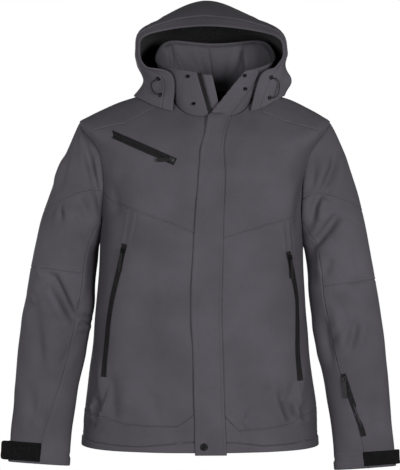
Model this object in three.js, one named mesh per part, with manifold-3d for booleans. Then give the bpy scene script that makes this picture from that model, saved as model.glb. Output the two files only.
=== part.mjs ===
// A hooded softshell jacket, filled out as if worn, in millimetres with +Z up and its front towards -Y.
// The origin lies between the two side neck points, where the wearer's shoulders carry it.
// Every panel is a thin closed wall on one of four surfaces: the trunk, a sleeve, the collar and the hood.
import * as THREE from "three";
import { mergeVertices } from "three/addons/utils/BufferGeometryUtils.js";
import Module from "manifold-3d";

const wasm = await Module();
wasm.setup();

// Driving sizes.
const CLOTH = 2.4; // bonded softshell with its fleece back
const SEAM = 0.2; // how far a panel's edge stands back from its seam line
const ZIP_HALF = 7; // centre front to a front panel's edge, filled by the zip
const TAPE_LIFT = 0.5; // a piece sewn on a panel stands this far off it
const TAPE_THICK = 1.2;
const FLAP_THICK = 3;
const HOOD_LIFT = 3.6; // the hood's skirt, above the yoke it lies on
const CUFF_TAB_THICK = 1.8;

const GREY = new THREE.MeshStandardMaterial({ color: 0x57545a, roughness: 0.85, metalness: 0 });
const BLACK = new THREE.MeshStandardMaterial({ color: 0x1c1b1e, roughness: 0.7, metalness: 0 });
const METAL = new THREE.MeshStandardMaterial({ color: 0x26262a, roughness: 0.35, metalness: 0.8 });

const jacket = new THREE.Group();

// Tables and curves.

function table(columns, rows) {
  const names = columns.split(" ");
  return rows.map((row) => Object.fromEntries(row.map((value, i) => [names[i], value])));
}

// A smooth curve through one column of a table, with no overshoot between its rows.
function track(rows, key, column) {
  const x = rows.map((row) => row[key]);
  const y = rows.map((row) => row[column]);
  const rise = x.slice(1).map((_, i) => (y[i + 1] - y[i]) / (x[i + 1] - x[i]));
  const slope = x.map((_, i) => {
    if (i === 0) return rise[0];
    if (i === rise.length) return rise[i - 1];
    const [before, after] = [rise[i - 1], rise[i]];
    return before * after <= 0 ? 0 : (2 * before * after) / (before + after);
  });
  return (at) => {
    let i = 0;
    while (i < rise.length - 1 && at > x[i + 1]) i += 1;
    const span = x[i + 1] - x[i];
    const u = Math.min(1, Math.max(0, (at - x[i]) / span));
    const [u2, u3] = [u * u, u * u * u];
    return (
      y[i] * (2 * u3 - 3 * u2 + 1) +
      slope[i] * span * (u3 - 2 * u2 + u) +
      y[i + 1] * (3 * u2 - 2 * u3) +
      slope[i + 1] * span * (u3 - u2)
    );
  };
}

const tracks = (rows, key) =>
  Object.fromEntries(Object.keys(rows[0]).map((column) => [column, track(rows, key, column)]));

const mix = (a, b, u) => a + (b - a) * u;
const smooth = (u) => {
  const c = Math.min(1, Math.max(0, u));
  return c * c * (3 - 2 * c);
};

// The large folds, each a ridge (positive) or a trough (negative) along a line seen from the front or the back.
const FOLDS = table("face x0 z0 x1 z1 spread height", [
  ["front", 212, -560, 200, -650, 9, 4],
  ["front", 190, -590, 176, -665, 10, -3.5],
  ["front", -214, -560, -204, -655, 8, 4.5],
  ["front", -188, -580, -180, -670, 11, -4],
  ["front", 118, -545, 134, -625, 12, -3],
  ["front", 152, -600, 168, -672, 10, 3],
  ["front", 172, -118, 186, -230, 12, 3],
  ["front", -176, -120, -188, -230, 12, 3],
  ["back", 120, -470, 30, -520, 16, -4],
  ["back", -120, -480, -30, -530, 16, -4],
  ["back", 170, -250, 120, -330, 14, 3.5],
  ["back", -170, -250, -120, -330, 14, 3.5],
  ["sleeve", 236, -118, 232, -205, 9, -5],
  ["sleeve", -236, -118, -230, -210, 9, -5],
  ["sleeve", 286, -245, 240, -300, 11, -4.5],
  ["sleeve", -268, -250, -236, -300, 11, -4.5],
  ["sleeve", -318, -385, -262, -470, 12, -6],
  ["sleeve", -352, -392, -318, -460, 12, 5],
  ["sleeve", 272, -415, 318, -500, 13, -5],
  ["sleeve", 300, -400, 348, -440, 12, 4],
  ["sleeve", 262, -520, 300, -470, 10, -4],
  ["sleeve", -262, -520, -306, -486, 10, -4],
]);
const FOLD_FACE = { front: -1, back: 1, sleeve: -1 };

function foldHeight(kind, p) {
  let sum = 0;
  for (const f of FOLDS) {
    const suits = kind === "sleeve" ? f.face === "sleeve" : f.face !== "sleeve";
    if (!suits) continue;
    const [dx, dz] = [f.x1 - f.x0, f.z1 - f.z0];
    const long2 = dx * dx + dz * dz;
    const along = ((p.x - f.x0) * dx + (p.z - f.z0) * dz) / long2;
    const off = Math.abs((p.x - f.x0) * dz - (p.z - f.z0) * dx) / Math.sqrt(long2);
    const ends = smooth(along / 0.35 + 0.5) * smooth((1 - along) / 0.35 + 0.5);
    const facing = smooth((p.y * FOLD_FACE[f.face]) / 40 + 0.5);
    sum += f.height * Math.exp(-((off / f.spread) ** 2)) * ends * facing;
  }
  return sum;
}

// The trunk. turn runs round the body in quarters: 0 centre front, 1 its left side (+X), 2 centre back, 3 the other side.
// rise runs from the hem, 0, to the neck seam, 1.
const TRUNK = table("rise half front back zFront zSide zBack square bend shift tilt", [
  [-0.02, 252, 114, 104, -751, -746, -751, 0.09, 2, -4, 0],
  [0.0, 251, 115, 105, -736, -732, -736, 0.09, 2, -4, 0],
  [0.12, 245, 121, 112, -648, -646, -650, 0.09, 2, -3, 0],
  [0.28, 229, 130, 119, -518, -515, -518, 0.08, 2, -3, -0.01],
  [0.38, 222, 137, 123, -432, -428, -432, 0.07, 2, -2, -0.03],
  [0.5, 216, 144, 130, -312, -308, -312, 0.06, 2, -1, -0.06],
  [0.6, 219, 142, 131, -232, -215, -232, 0.05, 2, 2, -0.08],
  [0.72, 231, 132, 126, -168, -112, -140, 0.05, 2.1, 5, -0.05],
  [0.82, 266, 116, 110, -118, -48, -58, 0.04, 2.4, 6, -0.02],
  [0.845, 248, 112.56, 104.2, -105.91, -35, -40.7, 0.036, 2.525, 7.3, -0.013],
  [0.91, 169, 104, 86, -76, 2, -3, 0.02, 3, 14, 0],
  [1.0, 94, 90, 62, -41, 20, 28, 0, 4, 22, 0],
]);
const trunk = tracks(TRUNK, "rise");
const QUARTER = Math.PI / 2;
const TILT_REACH = [150, 250]; // the tilt fades out between these distances from the middle

function trunkBare(turn, rise) {
  const angle = turn * QUARTER;
  const square = trunk.square(rise) * Math.sin(2 * angle);
  const ahead = Math.cos(angle - square);
  const side = Math.abs(Math.sin(angle)) ** trunk.bend(rise);
  const [depth, end] = Math.cos(angle) > 0 ? ["front", "zFront"] : ["back", "zBack"];
  const across = trunk.half(rise) * Math.sin(angle + square);
  const fade = 1 - smooth((Math.abs(across) - TILT_REACH[0]) / (TILT_REACH[1] - TILT_REACH[0]));
  return new THREE.Vector3(
    across + trunk.shift(rise),
    -ahead * trunk[depth](rise),
    mix(trunk[end](rise), trunk.zSide(rise), side) + trunk.tilt(rise) * across * fade,
  );
}

// Outward normal of a surface by small steps of its two parameters.
function normalOf(surface, u, v, outward) {
  const step = 0.004;
  const du = surface(u + step, v).sub(surface(u - step, v));
  const top = Math.min(1, v + step);
  const dv = surface(u, top).sub(surface(u, top - 2 * step));
  return du.cross(dv).normalize().multiplyScalar(outward);
}

// A surface with its folds.
function worn(bare, kind, outward = 1) {
  return (u, v) => {
    const p = bare(u, v);
    const lift = foldHeight(kind, p);
    return Math.abs(lift) > 1e-6 ? p.addScaledVector(normalOf(bare, u, v, outward), lift) : p;
  };
}
const trunkAt = worn(trunkBare, "trunk");

// The point of the trunk's front that lies at x and z, as its turn from the centre front, to either side, and its rise.
function onFront(side, x, z) {
  let [low, high] = [0, 1];
  let turn = 0;
  for (let i = 0; i < 40; i += 1) {
    const rise = (low + high) / 2;
    const sine = Math.min(1, (side * (x - trunk.shift(rise))) / trunk.half(rise));
    let angle = Math.asin(sine);
    for (let k = 0; k < 6; k += 1) angle = Math.asin(sine) - trunk.square(rise) * Math.sin(2 * angle);
    turn = angle / QUARTER;
    if (trunkBare(side * turn, rise).z < z) low = rise;
    else high = rise;
  }
  return [turn, (low + high) / 2];
}

// The armhole, as a closed curve on the trunk: around 0 is the shoulder tip, 0.25 the front, 0.5 the underarm.
const ARMHOLE = { rise: 0.66, tall: 0.16, wide: 0.24 };
function armhole(around) {
  const angle = around * 2 * Math.PI;
  return [1 - ARMHOLE.wide * Math.sin(angle), ARMHOLE.rise + ARMHOLE.tall * Math.cos(angle)];
}

// The sleeve: its middle line and its half width and half depth, from the underarm to the cuff's edge.
const SLEEVE = table("along x y z half deep", [
  [0.41, 291, -2, -345, 69.5, 74],
  [0.545, 303, -6, -435, 73, 68],
  [0.66, 316, -14, -519, 72, 60],
  [0.78, 328, -24, -606, 66.5, 48],
  [0.905, 338, -34, -697, 64, 34],
  [1.0, 343, -42, -768, 63, 25],
]);
const sleeve = tracks(SLEEVE, "along");
const CAP_END = SLEEVE[0].along;
const CUFF_DROP = 9; // the sleeve on +X hangs this much lower at the cuff
// How steeply each sleeve leaves its shoulder tip, in radians, and how far that way carries.
const SHOULDER = { left: { drop: 0.95, carry: 0.55 }, right: { drop: 1.15, carry: 0.5 } };

function sleeveRing(around, along) {
  const middle = (at) => new THREE.Vector3(sleeve.x(at), sleeve.y(at), sleeve.z(at));
  const low = Math.max(CAP_END, along - 0.01);
  const high = Math.min(1, along + 0.01);
  const down = middle(high).sub(middle(low)).normalize();
  const outward = new THREE.Vector3(-down.z, 0, down.x).normalize();
  const forward = new THREE.Vector3(0, -1, 0).addScaledVector(down, down.y).normalize();
  const angle = around * 2 * Math.PI;
  const p = middle(along)
    .addScaledVector(outward, sleeve.half(along) * Math.cos(angle))
    .addScaledVector(forward, sleeve.deep(along) * Math.sin(angle));
  return { p, down };
}

// The sleeve head runs from the armhole's curve into the first ring of the tube, with its outside towards +X.
function sleeveBare(side, around, along) {
  if (along >= CAP_END) return sleeveRing(around, along).p;
  const { p: end, down } = sleeveRing(around, CAP_END);
  const [turn, rise] = armhole(around);
  const start = trunkBare(side * turn, rise);
  start.x *= side;
  const reach = end.distanceTo(start);
  const under = (1 - Math.cos(around * 2 * Math.PI)) / 2;
  const shoulder = side > 0 ? SHOULDER.left : SHOULDER.right;
  const drop = mix(shoulder.drop, 1.0, under);
  const front = -Math.sin(around * 2 * Math.PI);
  const leave = new THREE.Vector3(Math.cos(drop), 0.25 * front, -Math.sin(drop));
  const u = along / CAP_END;
  const [u2, u3] = [u * u, u * u * u];
  return start
    .multiplyScalar(2 * u3 - 3 * u2 + 1)
    .addScaledVector(leave, (u3 - 2 * u2 + u) * reach * mix(shoulder.carry, 0.4, under))
    .addScaledVector(end, 3 * u2 - 2 * u3)
    .addScaledVector(down, (u3 - u2) * reach);
}

// side is 1 for the sleeve on +X and -1 for the other.
function sleeveAt(side) {
  const bare = (around, along) => {
    const p = sleeveBare(side, around, along);
    if (side > 0) p.z -= CUFF_DROP * smooth((along - CAP_END) / (1 - CAP_END));
    return p.setX(p.x * side);
  };
  return worn(bare, "sleeve", side);
}

// The collar stands on the neck seam. Its top edge is an oval that the open zip leaves apart in front.
const COLLAR = {
  middle: 29,
  half: 129,
  front: 84,
  back: 84,
  zFront: 50,
  zBack: 130,
  openRight: 0.56,
  openLeft: 0.25,
  bulge: 2,
  square: 0.13, // how far the rim's two corners stand out behind
  dip: 11, // how much lower than its corners it lies at the centre back
};

function collarAt(turn, up) {
  const foot = trunkBare(turn, 1);
  const open = COLLAR.openRight + COLLAR.openLeft;
  const angle = COLLAR.openRight + ((2 * Math.PI - open) * turn) / 4;
  const corner = Math.cos(angle) < 0 ? COLLAR.square * Math.sin(2 * angle) : 0;
  const ahead = Math.cos(angle - corner);
  const rim = new THREE.Vector3(
    COLLAR.middle + COLLAR.half * Math.sin(angle + corner),
    -ahead * (ahead > 0 ? COLLAR.front : COLLAR.back),
    mix(COLLAR.zFront, COLLAR.zBack, (1 - ahead) / 2) + COLLAR.dip * (corner / COLLAR.square) ** 2,
  );
  const swell = COLLAR.bulge * Math.sin(Math.PI * up);
  const p = foot.lerp(rim, up);
  p.x += swell * Math.sin(turn * QUARTER);
  p.y -= swell * Math.cos(turn * QUARTER);
  return p;
}

// The trunk and the collar as one surface, the collar from rise 1 to 2.
const bodyAt = (turn, rise) => (rise <= 1 ? trunkAt(turn, rise) : collarAt(turn, rise - 1));

// The hood, as arches from one side of its foot seam over the top to the other. back runs from the face opening, 0,
// to the nape, 1. Every arch passes five knots above its foot: half width, y and z of each.
const HOOD_FOOT = table("back turn rise", [
  [0.0, 0.5, 0.975],
  [0.1, 0.69, 0.94],
  [0.3, 0.97, 0.92],
  [0.55, 1.45, 0.925],
  [0.78, 1.78, 0.94],
  [0.9, 1.9, 0.955],
  [1.0, 1.97, 0.965],
]);
const HOOD = {
  knee: table("back half y z", [
    [0, 93, -76, 44],
    [0.1, 134, -52, 34],
    [0.3, 155, -6, 40],
    [0.55, 150, 50, 42],
    [0.78, 108, 106, 44],
    [0.9, 58, 112, 44],
    [1, 14, 90, 28],
  ]),
  lip: table("back half y z", [
    [0, 136, -66, 62],
    [0.1, 151, -46, 66],
    [0.3, 159, 0, 74],
    [0.55, 153, 60, 80],
    [0.78, 118, 122, 80],
    [0.9, 68, 130, 70],
    [1, 15, 92, 30],
  ]),
  wide: table("back half y z", [
    [0, 152, -56, 96],
    [0.1, 161, -38, 100],
    [0.3, 160, 8, 112],
    [0.55, 148, 66, 122],
    [0.78, 116, 134, 114],
    [0.9, 68, 144, 98],
    [1, 12, 94, 32],
  ]),
  haunch: table("back half y z", [
    [0, 131, -50, 134],
    [0.1, 137, -32, 150],
    [0.3, 117, 16, 168],
    [0.55, 99, 74, 182],
    [0.78, 86, 138, 158],
    [0.9, 48, 150, 122],
    [1, 7, 95, 33],
  ]),
  top: table("back half y z", [
    [0, 0, -46, 153],
    [0.1, 0, -28, 172],
    [0.3, 0, 24, 205],
    [0.55, 0, 82, 224],
    [0.78, 0, 138, 195],
    [0.9, 0, 152, 146],
    [1, 0, 96, 34],
  ]),
};
const HOOD_SHIFT = { knee: 30, lip: 18, wide: 16, haunch: 12, top: 6 }; // each knot's own middle
const HOOD_LEAN = { knee: 0, lip: 1, wide: 4, haunch: 4, top: 0 }; // added to it towards the face
const hoodFoot = tracks(HOOD_FOOT, "back");
const hood = Object.fromEntries(Object.entries(HOOD).map(([knot, rows]) => [knot, tracks(rows, "back")]));
const HOOD_BUMPS = table("x y z spread height", [
  [176, -14, 40, 15, 8],
  [160, -44, 12, 13, -4],
  [-92, -58, 24, 17, -9],
  [-122, -30, 44, 16, 4],
]);
const ARCH = [0, 0.2, 0.35, 0.48, 0.63, 1]; // where foot, knee, lip, wide, haunch and top lie along half an arch

function hoodBare(across, back) {
  const side = across < 0 ? -1 : 1;
  const up = 1 - Math.min(1, Math.abs(across));
  const [turn, rise] = [side * hoodFoot.turn(back), hoodFoot.rise(back)];
  const knot = (name) => {
    const at = hood[name];
    const middle = HOOD_SHIFT[name] + HOOD_LEAN[name] * (1 - smooth((back - 0.2) / 0.4));
    return new THREE.Vector3(middle + side * at.half(back), at.y(back), at.z(back));
  };
  const knots = [
    trunkBare(turn, rise).addScaledVector(normalOf(trunkBare, turn, rise, 1), HOOD_LIFT),
    ...["knee", "lip", "wide", "haunch", "top"].map(knot),
  ];
  const beyond = knots[4].clone();
  beyond.x = 2 * HOOD_SHIFT.top - beyond.x; // makes the arch level at its top
  let i = 0;
  while (i < 4 && up > ARCH[i + 1]) i += 1;
  const u = (up - ARCH[i]) / (ARCH[i + 1] - ARCH[i]);
  const pick = (j) => (j > 5 ? beyond : knots[Math.max(0, j)]);
  const [a, b, c, d] = [pick(i - 1), pick(i), pick(i + 1), pick(i + 2)];
  const round = (k) =>
    0.5 * (2 * b[k] + (c[k] - a[k]) * u + (2 * a[k] - 5 * b[k] + 4 * c[k] - d[k]) * u * u) +
    0.5 * (3 * b[k] - a[k] - 3 * c[k] + d[k]) * u ** 3;
  return new THREE.Vector3(round("x"), round("y"), round("z"));
}

function hoodAt(across, back) {
  const p = hoodBare(across, back);
  const lift = HOOD_BUMPS.reduce((sum, bump) => {
    const away = (p.x - bump.x) ** 2 + (p.y - bump.y) ** 2 + (p.z - bump.z) ** 2;
    return sum + bump.height * Math.exp(-away / bump.spread ** 2);
  }, 0);
  return Math.abs(lift) > 1e-3 ? p.addScaledVector(normalOf(hoodBare, across, back, 1), lift) : p;
}

// Walls.

// A closed wall from two grids of points, the outer and the inner one, counted [across][along].
function closedWall(outer, inner) {
  const across = outer.length - 1;
  const along = outer[0].length - 1;
  const points = [...outer.flat(), ...inner.flat()];
  const far = (across + 1) * (along + 1);
  const at = (i, j) => i * (along + 1) + j;
  const faces = [];
  const quad = (a, b, c, d) => faces.push(a, b, c, a, c, d);
  for (let i = 0; i < across; i += 1) {
    for (let j = 0; j < along; j += 1) {
      quad(at(i, j), at(i + 1, j), at(i + 1, j + 1), at(i, j + 1));
      quad(far + at(i, j), far + at(i, j + 1), far + at(i + 1, j + 1), far + at(i + 1, j));
    }
  }
  const edge = (a, b) => quad(b, a, far + a, far + b);
  for (let i = 0; i < across; i += 1) {
    edge(at(i, 0), at(i + 1, 0));
    edge(at(i + 1, along), at(i, along));
  }
  for (let j = 0; j < along; j += 1) {
    edge(at(0, j + 1), at(0, j));
    edge(at(across, j), at(across, j + 1));
  }
  return facingOut(points, faces);
}

function volumeOf(points, faces) {
  let sum = 0;
  for (let i = 0; i < faces.length; i += 3) {
    const [a, b, c] = [points[faces[i]], points[faces[i + 1]], points[faces[i + 2]]];
    sum += a.dot(b.clone().cross(c)) / 6;
  }
  return sum;
}

function facingOut(points, faces) {
  const turned = volumeOf(points, faces) < 0 ? [...faces].reverse() : faces;
  const geometry = new THREE.BufferGeometry();
  geometry.setAttribute("position", new THREE.Float32BufferAttribute(points.flatMap((p) => p.toArray()), 3));
  geometry.setIndex(turned);
  geometry.computeVertexNormals();
  return geometry;
}

// Draws a grid's border in by SEAM, so that neighbouring panels stay apart.
function drawIn(grid, gap) {
  const pull = (from, to) => {
    const span = to.clone().sub(from);
    return from.clone().addScaledVector(span, gap / Math.max(span.length(), 1e-6));
  };
  const rows = grid.map((line) => {
    const next = line.slice();
    next[0] = pull(line[0], line[1]);
    next[line.length - 1] = pull(line.at(-1), line.at(-2));
    return next;
  });
  const first = rows[0].map((p, j) => pull(p, rows[1][j]));
  const last = rows.at(-1).map((p, j) => pull(p, rows.at(-2)[j]));
  return [first, ...rows.slice(1, -1), last];
}

// A panel on a surface. spot(a, b) gives the surface's two parameters for a and b from 0 to 1.
function panel({ surface, spot, across, along, outward = 1, lift = 0, thick = CLOTH, gap = SEAM }) {
  const side = { outer: [], inner: [] };
  const share = (count) => Array.from({ length: count + 1 }, (_, i) => i / count);
  const steps = (count) => (Array.isArray(count) ? count : share(count));
  const spots = steps(across).map((a) => steps(along).map((b) => spot(a, b)));
  const flat = spots.map((line) => line.map(([u, v]) => surface(u, v)));
  const drawn = drawIn(flat, gap);
  spots.forEach((line, i) => {
    const normals = line.map(([u, v]) => normalOf(surface, u, v, outward));
    side.outer.push(drawn[i].map((p, j) => p.clone().addScaledVector(normals[j], lift)));
    side.inner.push(drawn[i].map((p, j) => p.clone().addScaledVector(normals[j], lift - thick)));
  });
  return closedWall(side.outer, side.inner);
}

// A patch's spots from its four edges, each a function of its own share: low and high along a, near and far along b.
function coons(low, high, near, far) {
  return (a, b) =>
    [0, 1].map((k) => {
      const ruled = mix(low(a)[k], high(a)[k], b) + mix(near(b)[k], far(b)[k], a);
      const corners = mix(mix(low(0)[k], low(1)[k], a), mix(high(0)[k], high(1)[k], a), b);
      return ruled - corners;
    });
}

// The same on the trunk, where a turn is taken as a distance from the middle one, since the trunk narrows to its neck.
function trunkPatch(middle, ...edges) {
  const flat = edges.map((edge) => (u) => {
    const [turn, rise] = edge(u);
    return [(turn - middle) * trunk.half(rise), rise];
  });
  const patch = coons(...flat);
  return (a, b) => {
    const [off, rise] = patch(a, b);
    return [middle + off / trunk.half(rise), rise];
  };
}

// Joins edges end to end, each taking its share of the way.
function chain(...parts) {
  return (u) => {
    const found = parts.findIndex(([end]) => u <= end + 1e-9);
    const i = found < 0 ? parts.length - 1 : found;
    const start = i ? parts[i - 1][0] : 0;
    return parts[i][1](Math.min(1, (u - start) / (parts[i][0] - start)));
  };
}

const straight = (from, to) => (u) => from.map((value, k) => mix(value, to[k], u));

// A seam over points, each one the turn and rise of a spot.
const through = (spots) => (u) => {
  const at = u * (spots.length - 1);
  const i = Math.min(spots.length - 2, Math.floor(at));
  return straight(spots[i], spots[i + 1])(at - i);
};

const mirrored = (spot, side) => (side > 0 ? spot : (a, b) => [4 - spot(a, b)[0], spot(a, b)[1]]);
const add = (name, geometry, material = GREY) => {
  const mesh = new THREE.Mesh(geometry, material);
  mesh.name = name;
  jacket.add(mesh);
  return mesh;
};

// The trunk's panels.

const edgeTurn = (rise, out = ZIP_HALF) => out / trunk.half(Math.min(1, rise)) / QUARTER;
const frontEdge = (rise) => [edgeTurn(rise), rise];

// Seams of the front by side, as x and z. Each starts at the front edge, at the height startZ.
const SEAMS = {
  left: {
    chevron: { startZ: -303, points: [[47, -292], [90, -279], [130, -267], [165, -257], [198, -248]] },
    hemPanel: { startZ: -650, points: [[45, -658], [74, -690], [124, -687], [180, -680], [200, -668]] },
    yoke: [[126, -30], [168, -49]],
  },
  right: {
    chevron: { startZ: -290, points: [[-25, -279], [-70, -261], [-110, -247], [-148, -233], [-182, -222]] },
    hemPanel: { startZ: -655, points: [[-25, -663], [-48, -681], [-104, -681], [-159, -678], [-203, -666]] },
    yoke: [[-100, -20], [-160, -55]],
  },
};
const SIDE_SEAM_LOW = 0.115; // where the hem panel's seam meets the side seam
const YOKE_FRONT = { neck: [0.7, 1], arm: 0.16 }; // the yoke seam's ends on the neck seam and the armhole
const YOKE_BACK = { arm: 0.84, centre: [2, 0.7] };
const CHEVRON_ARM = 0.295; // where the chevron meets the armhole

const neckSeam = (from, to) => straight([from, 1], [to, 1]);
const armEdge = (from, to) => (u) => armhole(mix(from, to, u));

// Where the panels that meet at the armhole have their points, so that their edges match.
const ARM_MARKS = {
  yokeFront: [0.16, 0.12, 0.08, 0.04, 0],
  chest: [0.295, 0.2725, 0.25, 0.2275, 0.205, 0.1825, 0.16],
  front: [0.5, 0.43, 0.36, 0.3275, 0.295],
  back: [0.5, 0.57, 0.64, 0.705, 0.74, 0.79, 0.84],
  yokeBack: [1, 0.96, 0.92, 0.88, 0.84],
};
// The shares of an edge at which its marks lie, when it takes the part from low to high of the panel's side.
const shares = (marks, low, high) =>
  marks.slice(1).map((mark) => mix(low, high, (mark - marks[0]) / (marks.at(-1) - marks[0])));

// The front's pieces and the yoke's front edge, on one side of the centre front.
function frontPieces(hand) {
  const side = hand === "left" ? 1 : -1;
  const seams = SEAMS[hand];
  const fromEdge = ({ startZ, points }, end) => {
    const rise = onFront(side, trunk.shift(0.5) + side * ZIP_HALF, startZ)[1];
    return through([frontEdge(rise), ...points.map(([x, z]) => onFront(side, x, z)), end]);
  };
  const chevron = fromEdge(seams.chevron, armhole(CHEVRON_ARM));
  const hemSeam = fromEdge(seams.hemPanel, [1, SIDE_SEAM_LOW]);
  const yokeSpots = seams.yoke.map(([x, z]) => onFront(side, x, z));
  const yokeSeam = through([YOKE_FRONT.neck, ...yokeSpots, armhole(YOKE_FRONT.arm)]);
  const chestTop = chain([0.5, neckSeam(edgeTurn(1), YOKE_FRONT.neck[0])], [1, yokeSeam]);
  const edge = (from, to) => (b) => frontEdge(mix(from, to, b));
  return {
    yokeSeam,
    chest: trunkPatch(0, chevron, chestTop, edge(chevron(0)[1], 1), armEdge(CHEVRON_ARM, YOKE_FRONT.arm)),
    front: trunkPatch(0, hemSeam, chevron, edge(hemSeam(0)[1], chevron(0)[1]), frontSide),
    hem: trunkPatch(
      0,
      straight([edgeTurn(0), 0], [1, 0]),
      hemSeam,
      edge(0, hemSeam(0)[1]),
      straight([1, 0], [1, SIDE_SEAM_LOW]),
    ),
  };
}
const frontSide = chain([0.7, straight([1, SIDE_SEAM_LOW], armhole(0.5))], [1, armEdge(0.5, CHEVRON_ARM)]);
const pieces = { left: frontPieces("left"), right: frontPieces("right") };
const backSide = chain(
  [0.12, straight([1, 0], [1, SIDE_SEAM_LOW])],
  [0.6, straight([1, SIDE_SEAM_LOW], armhole(0.5))],
  [1, armEdge(0.5, YOKE_BACK.arm)],
);
const flip = (edge) => (u) => [4 - edge(u)[0], edge(u)[1]];
const backYoke = chain(
  [0.5, straight(armhole(YOKE_BACK.arm), YOKE_BACK.centre)],
  [1, straight(YOKE_BACK.centre, flip(armhole)(YOKE_BACK.arm))],
);
const back = trunkPatch(2, straight([1, 0], [3, 0]), backYoke, backSide, flip(backSide));
const yokeHalf = chain(
  [4 / 17, armEdge(YOKE_FRONT.arm, 0)],
  [8 / 17, armEdge(1, YOKE_BACK.arm)],
  [1, straight(armhole(YOKE_BACK.arm), YOKE_BACK.centre)],
);
const yokeOuter = (u) => (u <= 0.5 ? yokeHalf(u * 2) : flip(yokeHalf)(2 - u * 2));
const yokeNeck = chain([0.14, neckSeam(YOKE_FRONT.neck[0], 1)], [0.86, neckSeam(1, 3)], [1, neckSeam(3, 3.3)]);
const yokeEnd = (hand) => (u) => pieces[hand].yokeSeam(1 - u);
const yoke = coons(yokeOuter, yokeNeck, yokeEnd("left"), flip(yokeEnd("right")));

// Shares along the side seam, the same for the front and the back, so that their edges match.
const SIDE_ALONG = [0.12, 0.22, 0.32, 0.42, 0.51, 0.6];
const backAlong = [0, 0.06, ...SIDE_ALONG, ...shares(ARM_MARKS.back, 0.6, 1)];
const frontAlong = [...SIDE_ALONG.map((share) => ((share - 0.12) / 0.48) * 0.7), ...shares(ARM_MARKS.front, 0.7, 1)];

function trunkPanels() {
  for (const [side, hand] of [[1, "left"], [-1, "right"]]) {
    const make = (spot, across, along) =>
      panel({ surface: trunkAt, spot: mirrored(spot, side), across, along, outward: 1 });
    add("chest_" + hand, make(pieces[hand].chest, 12, 6));
    add("front_" + hand, make(pieces[hand].front, 12, frontAlong));
    add("hem_" + hand, make(pieces[hand].hem, 12, 2));
  }
  add("back", panel({ surface: trunkAt, spot: back, across: 18, along: backAlong }));
  add("yoke", panel({ surface: trunkAt, spot: yoke, across: 34, along: 6 }));
}

// The sleeves: a head, an elbow piece and a forearm above, and one under sleeve from the armhole to the cuff.
const UNDER = track(
  table("along edge", [
    [0, 0.36],
    [0.5, 0.358],
    [0.64, 0.35],
    [0.745, 0.335],
    [0.815, 0.31],
    [0.885, 0.28],
    [0.95, 0.26],
    [1, 0.25],
  ]),
  "along",
  "edge",
); // the under sleeve's front edge, as a share of the way round
const HEAD = { end: CHEVRON_ARM, low: 0.285, tip: 0.006 }; // the head's half width round the armhole and its depth
const ELBOW_SEAM = { left: 0.48, right: 0.44 };
const UNDERARM_GAP = 0.006; // the under sleeve starts this far below the armhole's lowest point
const UNDER_STEPS = { upper: 7, lower: 9 };

const headSeam = (around) => HEAD.tip + (HEAD.low - HEAD.tip) * (1 - (around / HEAD.end) ** 2) ** 0.8;

// The armhole's marks from its back to its front, over the shoulder.
const marksBehind = [...ARM_MARKS.back.slice(2, -1), ...[...ARM_MARKS.yokeBack].reverse()].map((mark) => mark - 1);
const marksAhead = [...ARM_MARKS.yokeFront.slice(0, -1).reverse(), ...[...ARM_MARKS.chest].reverse().slice(1)];
const underMark = ARM_MARKS.front.indexOf(UNDER(0));
const marksBelow = ARM_MARKS.front.slice(underMark, -1).reverse();
const headMarks = [-HEAD.end, ...marksBehind.filter((mark) => mark > -HEAD.end), ...marksAhead];

function sleevePanels() {
  for (const [side, hand] of [[1, "left"], [-1, "right"]]) {
    const surface = sleeveAt(side);
    const elbow = ELBOW_SEAM[hand];
    const make = (spot, across, along) => panel({ surface, spot, across, along, outward: side });
    const list = (marks, along) => through(marks.map((mark) => [mark, along(mark)]));
    const count = headMarks.length - 1;
    const tip = (mark) => straight([mark, 0], [mark, HEAD.tip]);
    const head = coons(list(headMarks, () => 0), list(headMarks, headSeam), tip(-HEAD.end), tip(HEAD.end));
    add("sleeve_head_" + hand, make(head, count, 5));

    const backMarks = marksBehind.filter((mark) => mark < -HEAD.end);
    const top = [
      ...backMarks.map((mark) => [mark, 0]),
      [-HEAD.end, 0],
      ...headMarks.map((mark) => [mark, headSeam(mark)]),
      [HEAD.end, 0],
      ...marksBelow.map((mark) => [mark, 0]),
    ];
    const sideEdge = (sign, from, to) => (b) => {
      const along = mix(from, to, b);
      return [sign * UNDER(along), along];
    };
    const ring = (along) => straight([-UNDER(along), along], [UNDER(along), along]);
    const middle = coons(through(top), ring(elbow), sideEdge(-1, 0, elbow), sideEdge(1, 0, elbow));
    add("sleeve_elbow_" + hand, make(middle, top.length - 1, UNDER_STEPS.upper));

    const lower = coons(ring(elbow), ring(1), sideEdge(-1, elbow, 1), sideEdge(1, elbow, 1));
    add("sleeve_forearm_" + hand, make(lower, 14, UNDER_STEPS.lower));

    const under = (a, b) => [mix(UNDER(b), 1 - UNDER(b), a), Math.max(b, UNDERARM_GAP)];
    const along = [
      0,
      ...stretch(0, elbow, UNDER_STEPS.upper),
      ...stretch(elbow, 1, UNDER_STEPS.lower),
    ];
    add("under_sleeve_" + hand, make(under, [0, 0.25, 0.5, 0.75, 1], along));
  }
}
const stretch = (low, high, count) => Array.from({ length: count }, (_, i) => mix(low, high, (i + 1) / count));

// The collar: two fronts and a back outside, one facing inside, its points twice as close so that both match.
const COLLAR_SPLIT = 0.62;
const COLLAR_FOOT = 0.035; // clear of the trunk's panels
const COLLAR_EDGE = 0.05;
const COLLAR_STEPS = { front: 4, back: 18, up: 5 };

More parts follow.
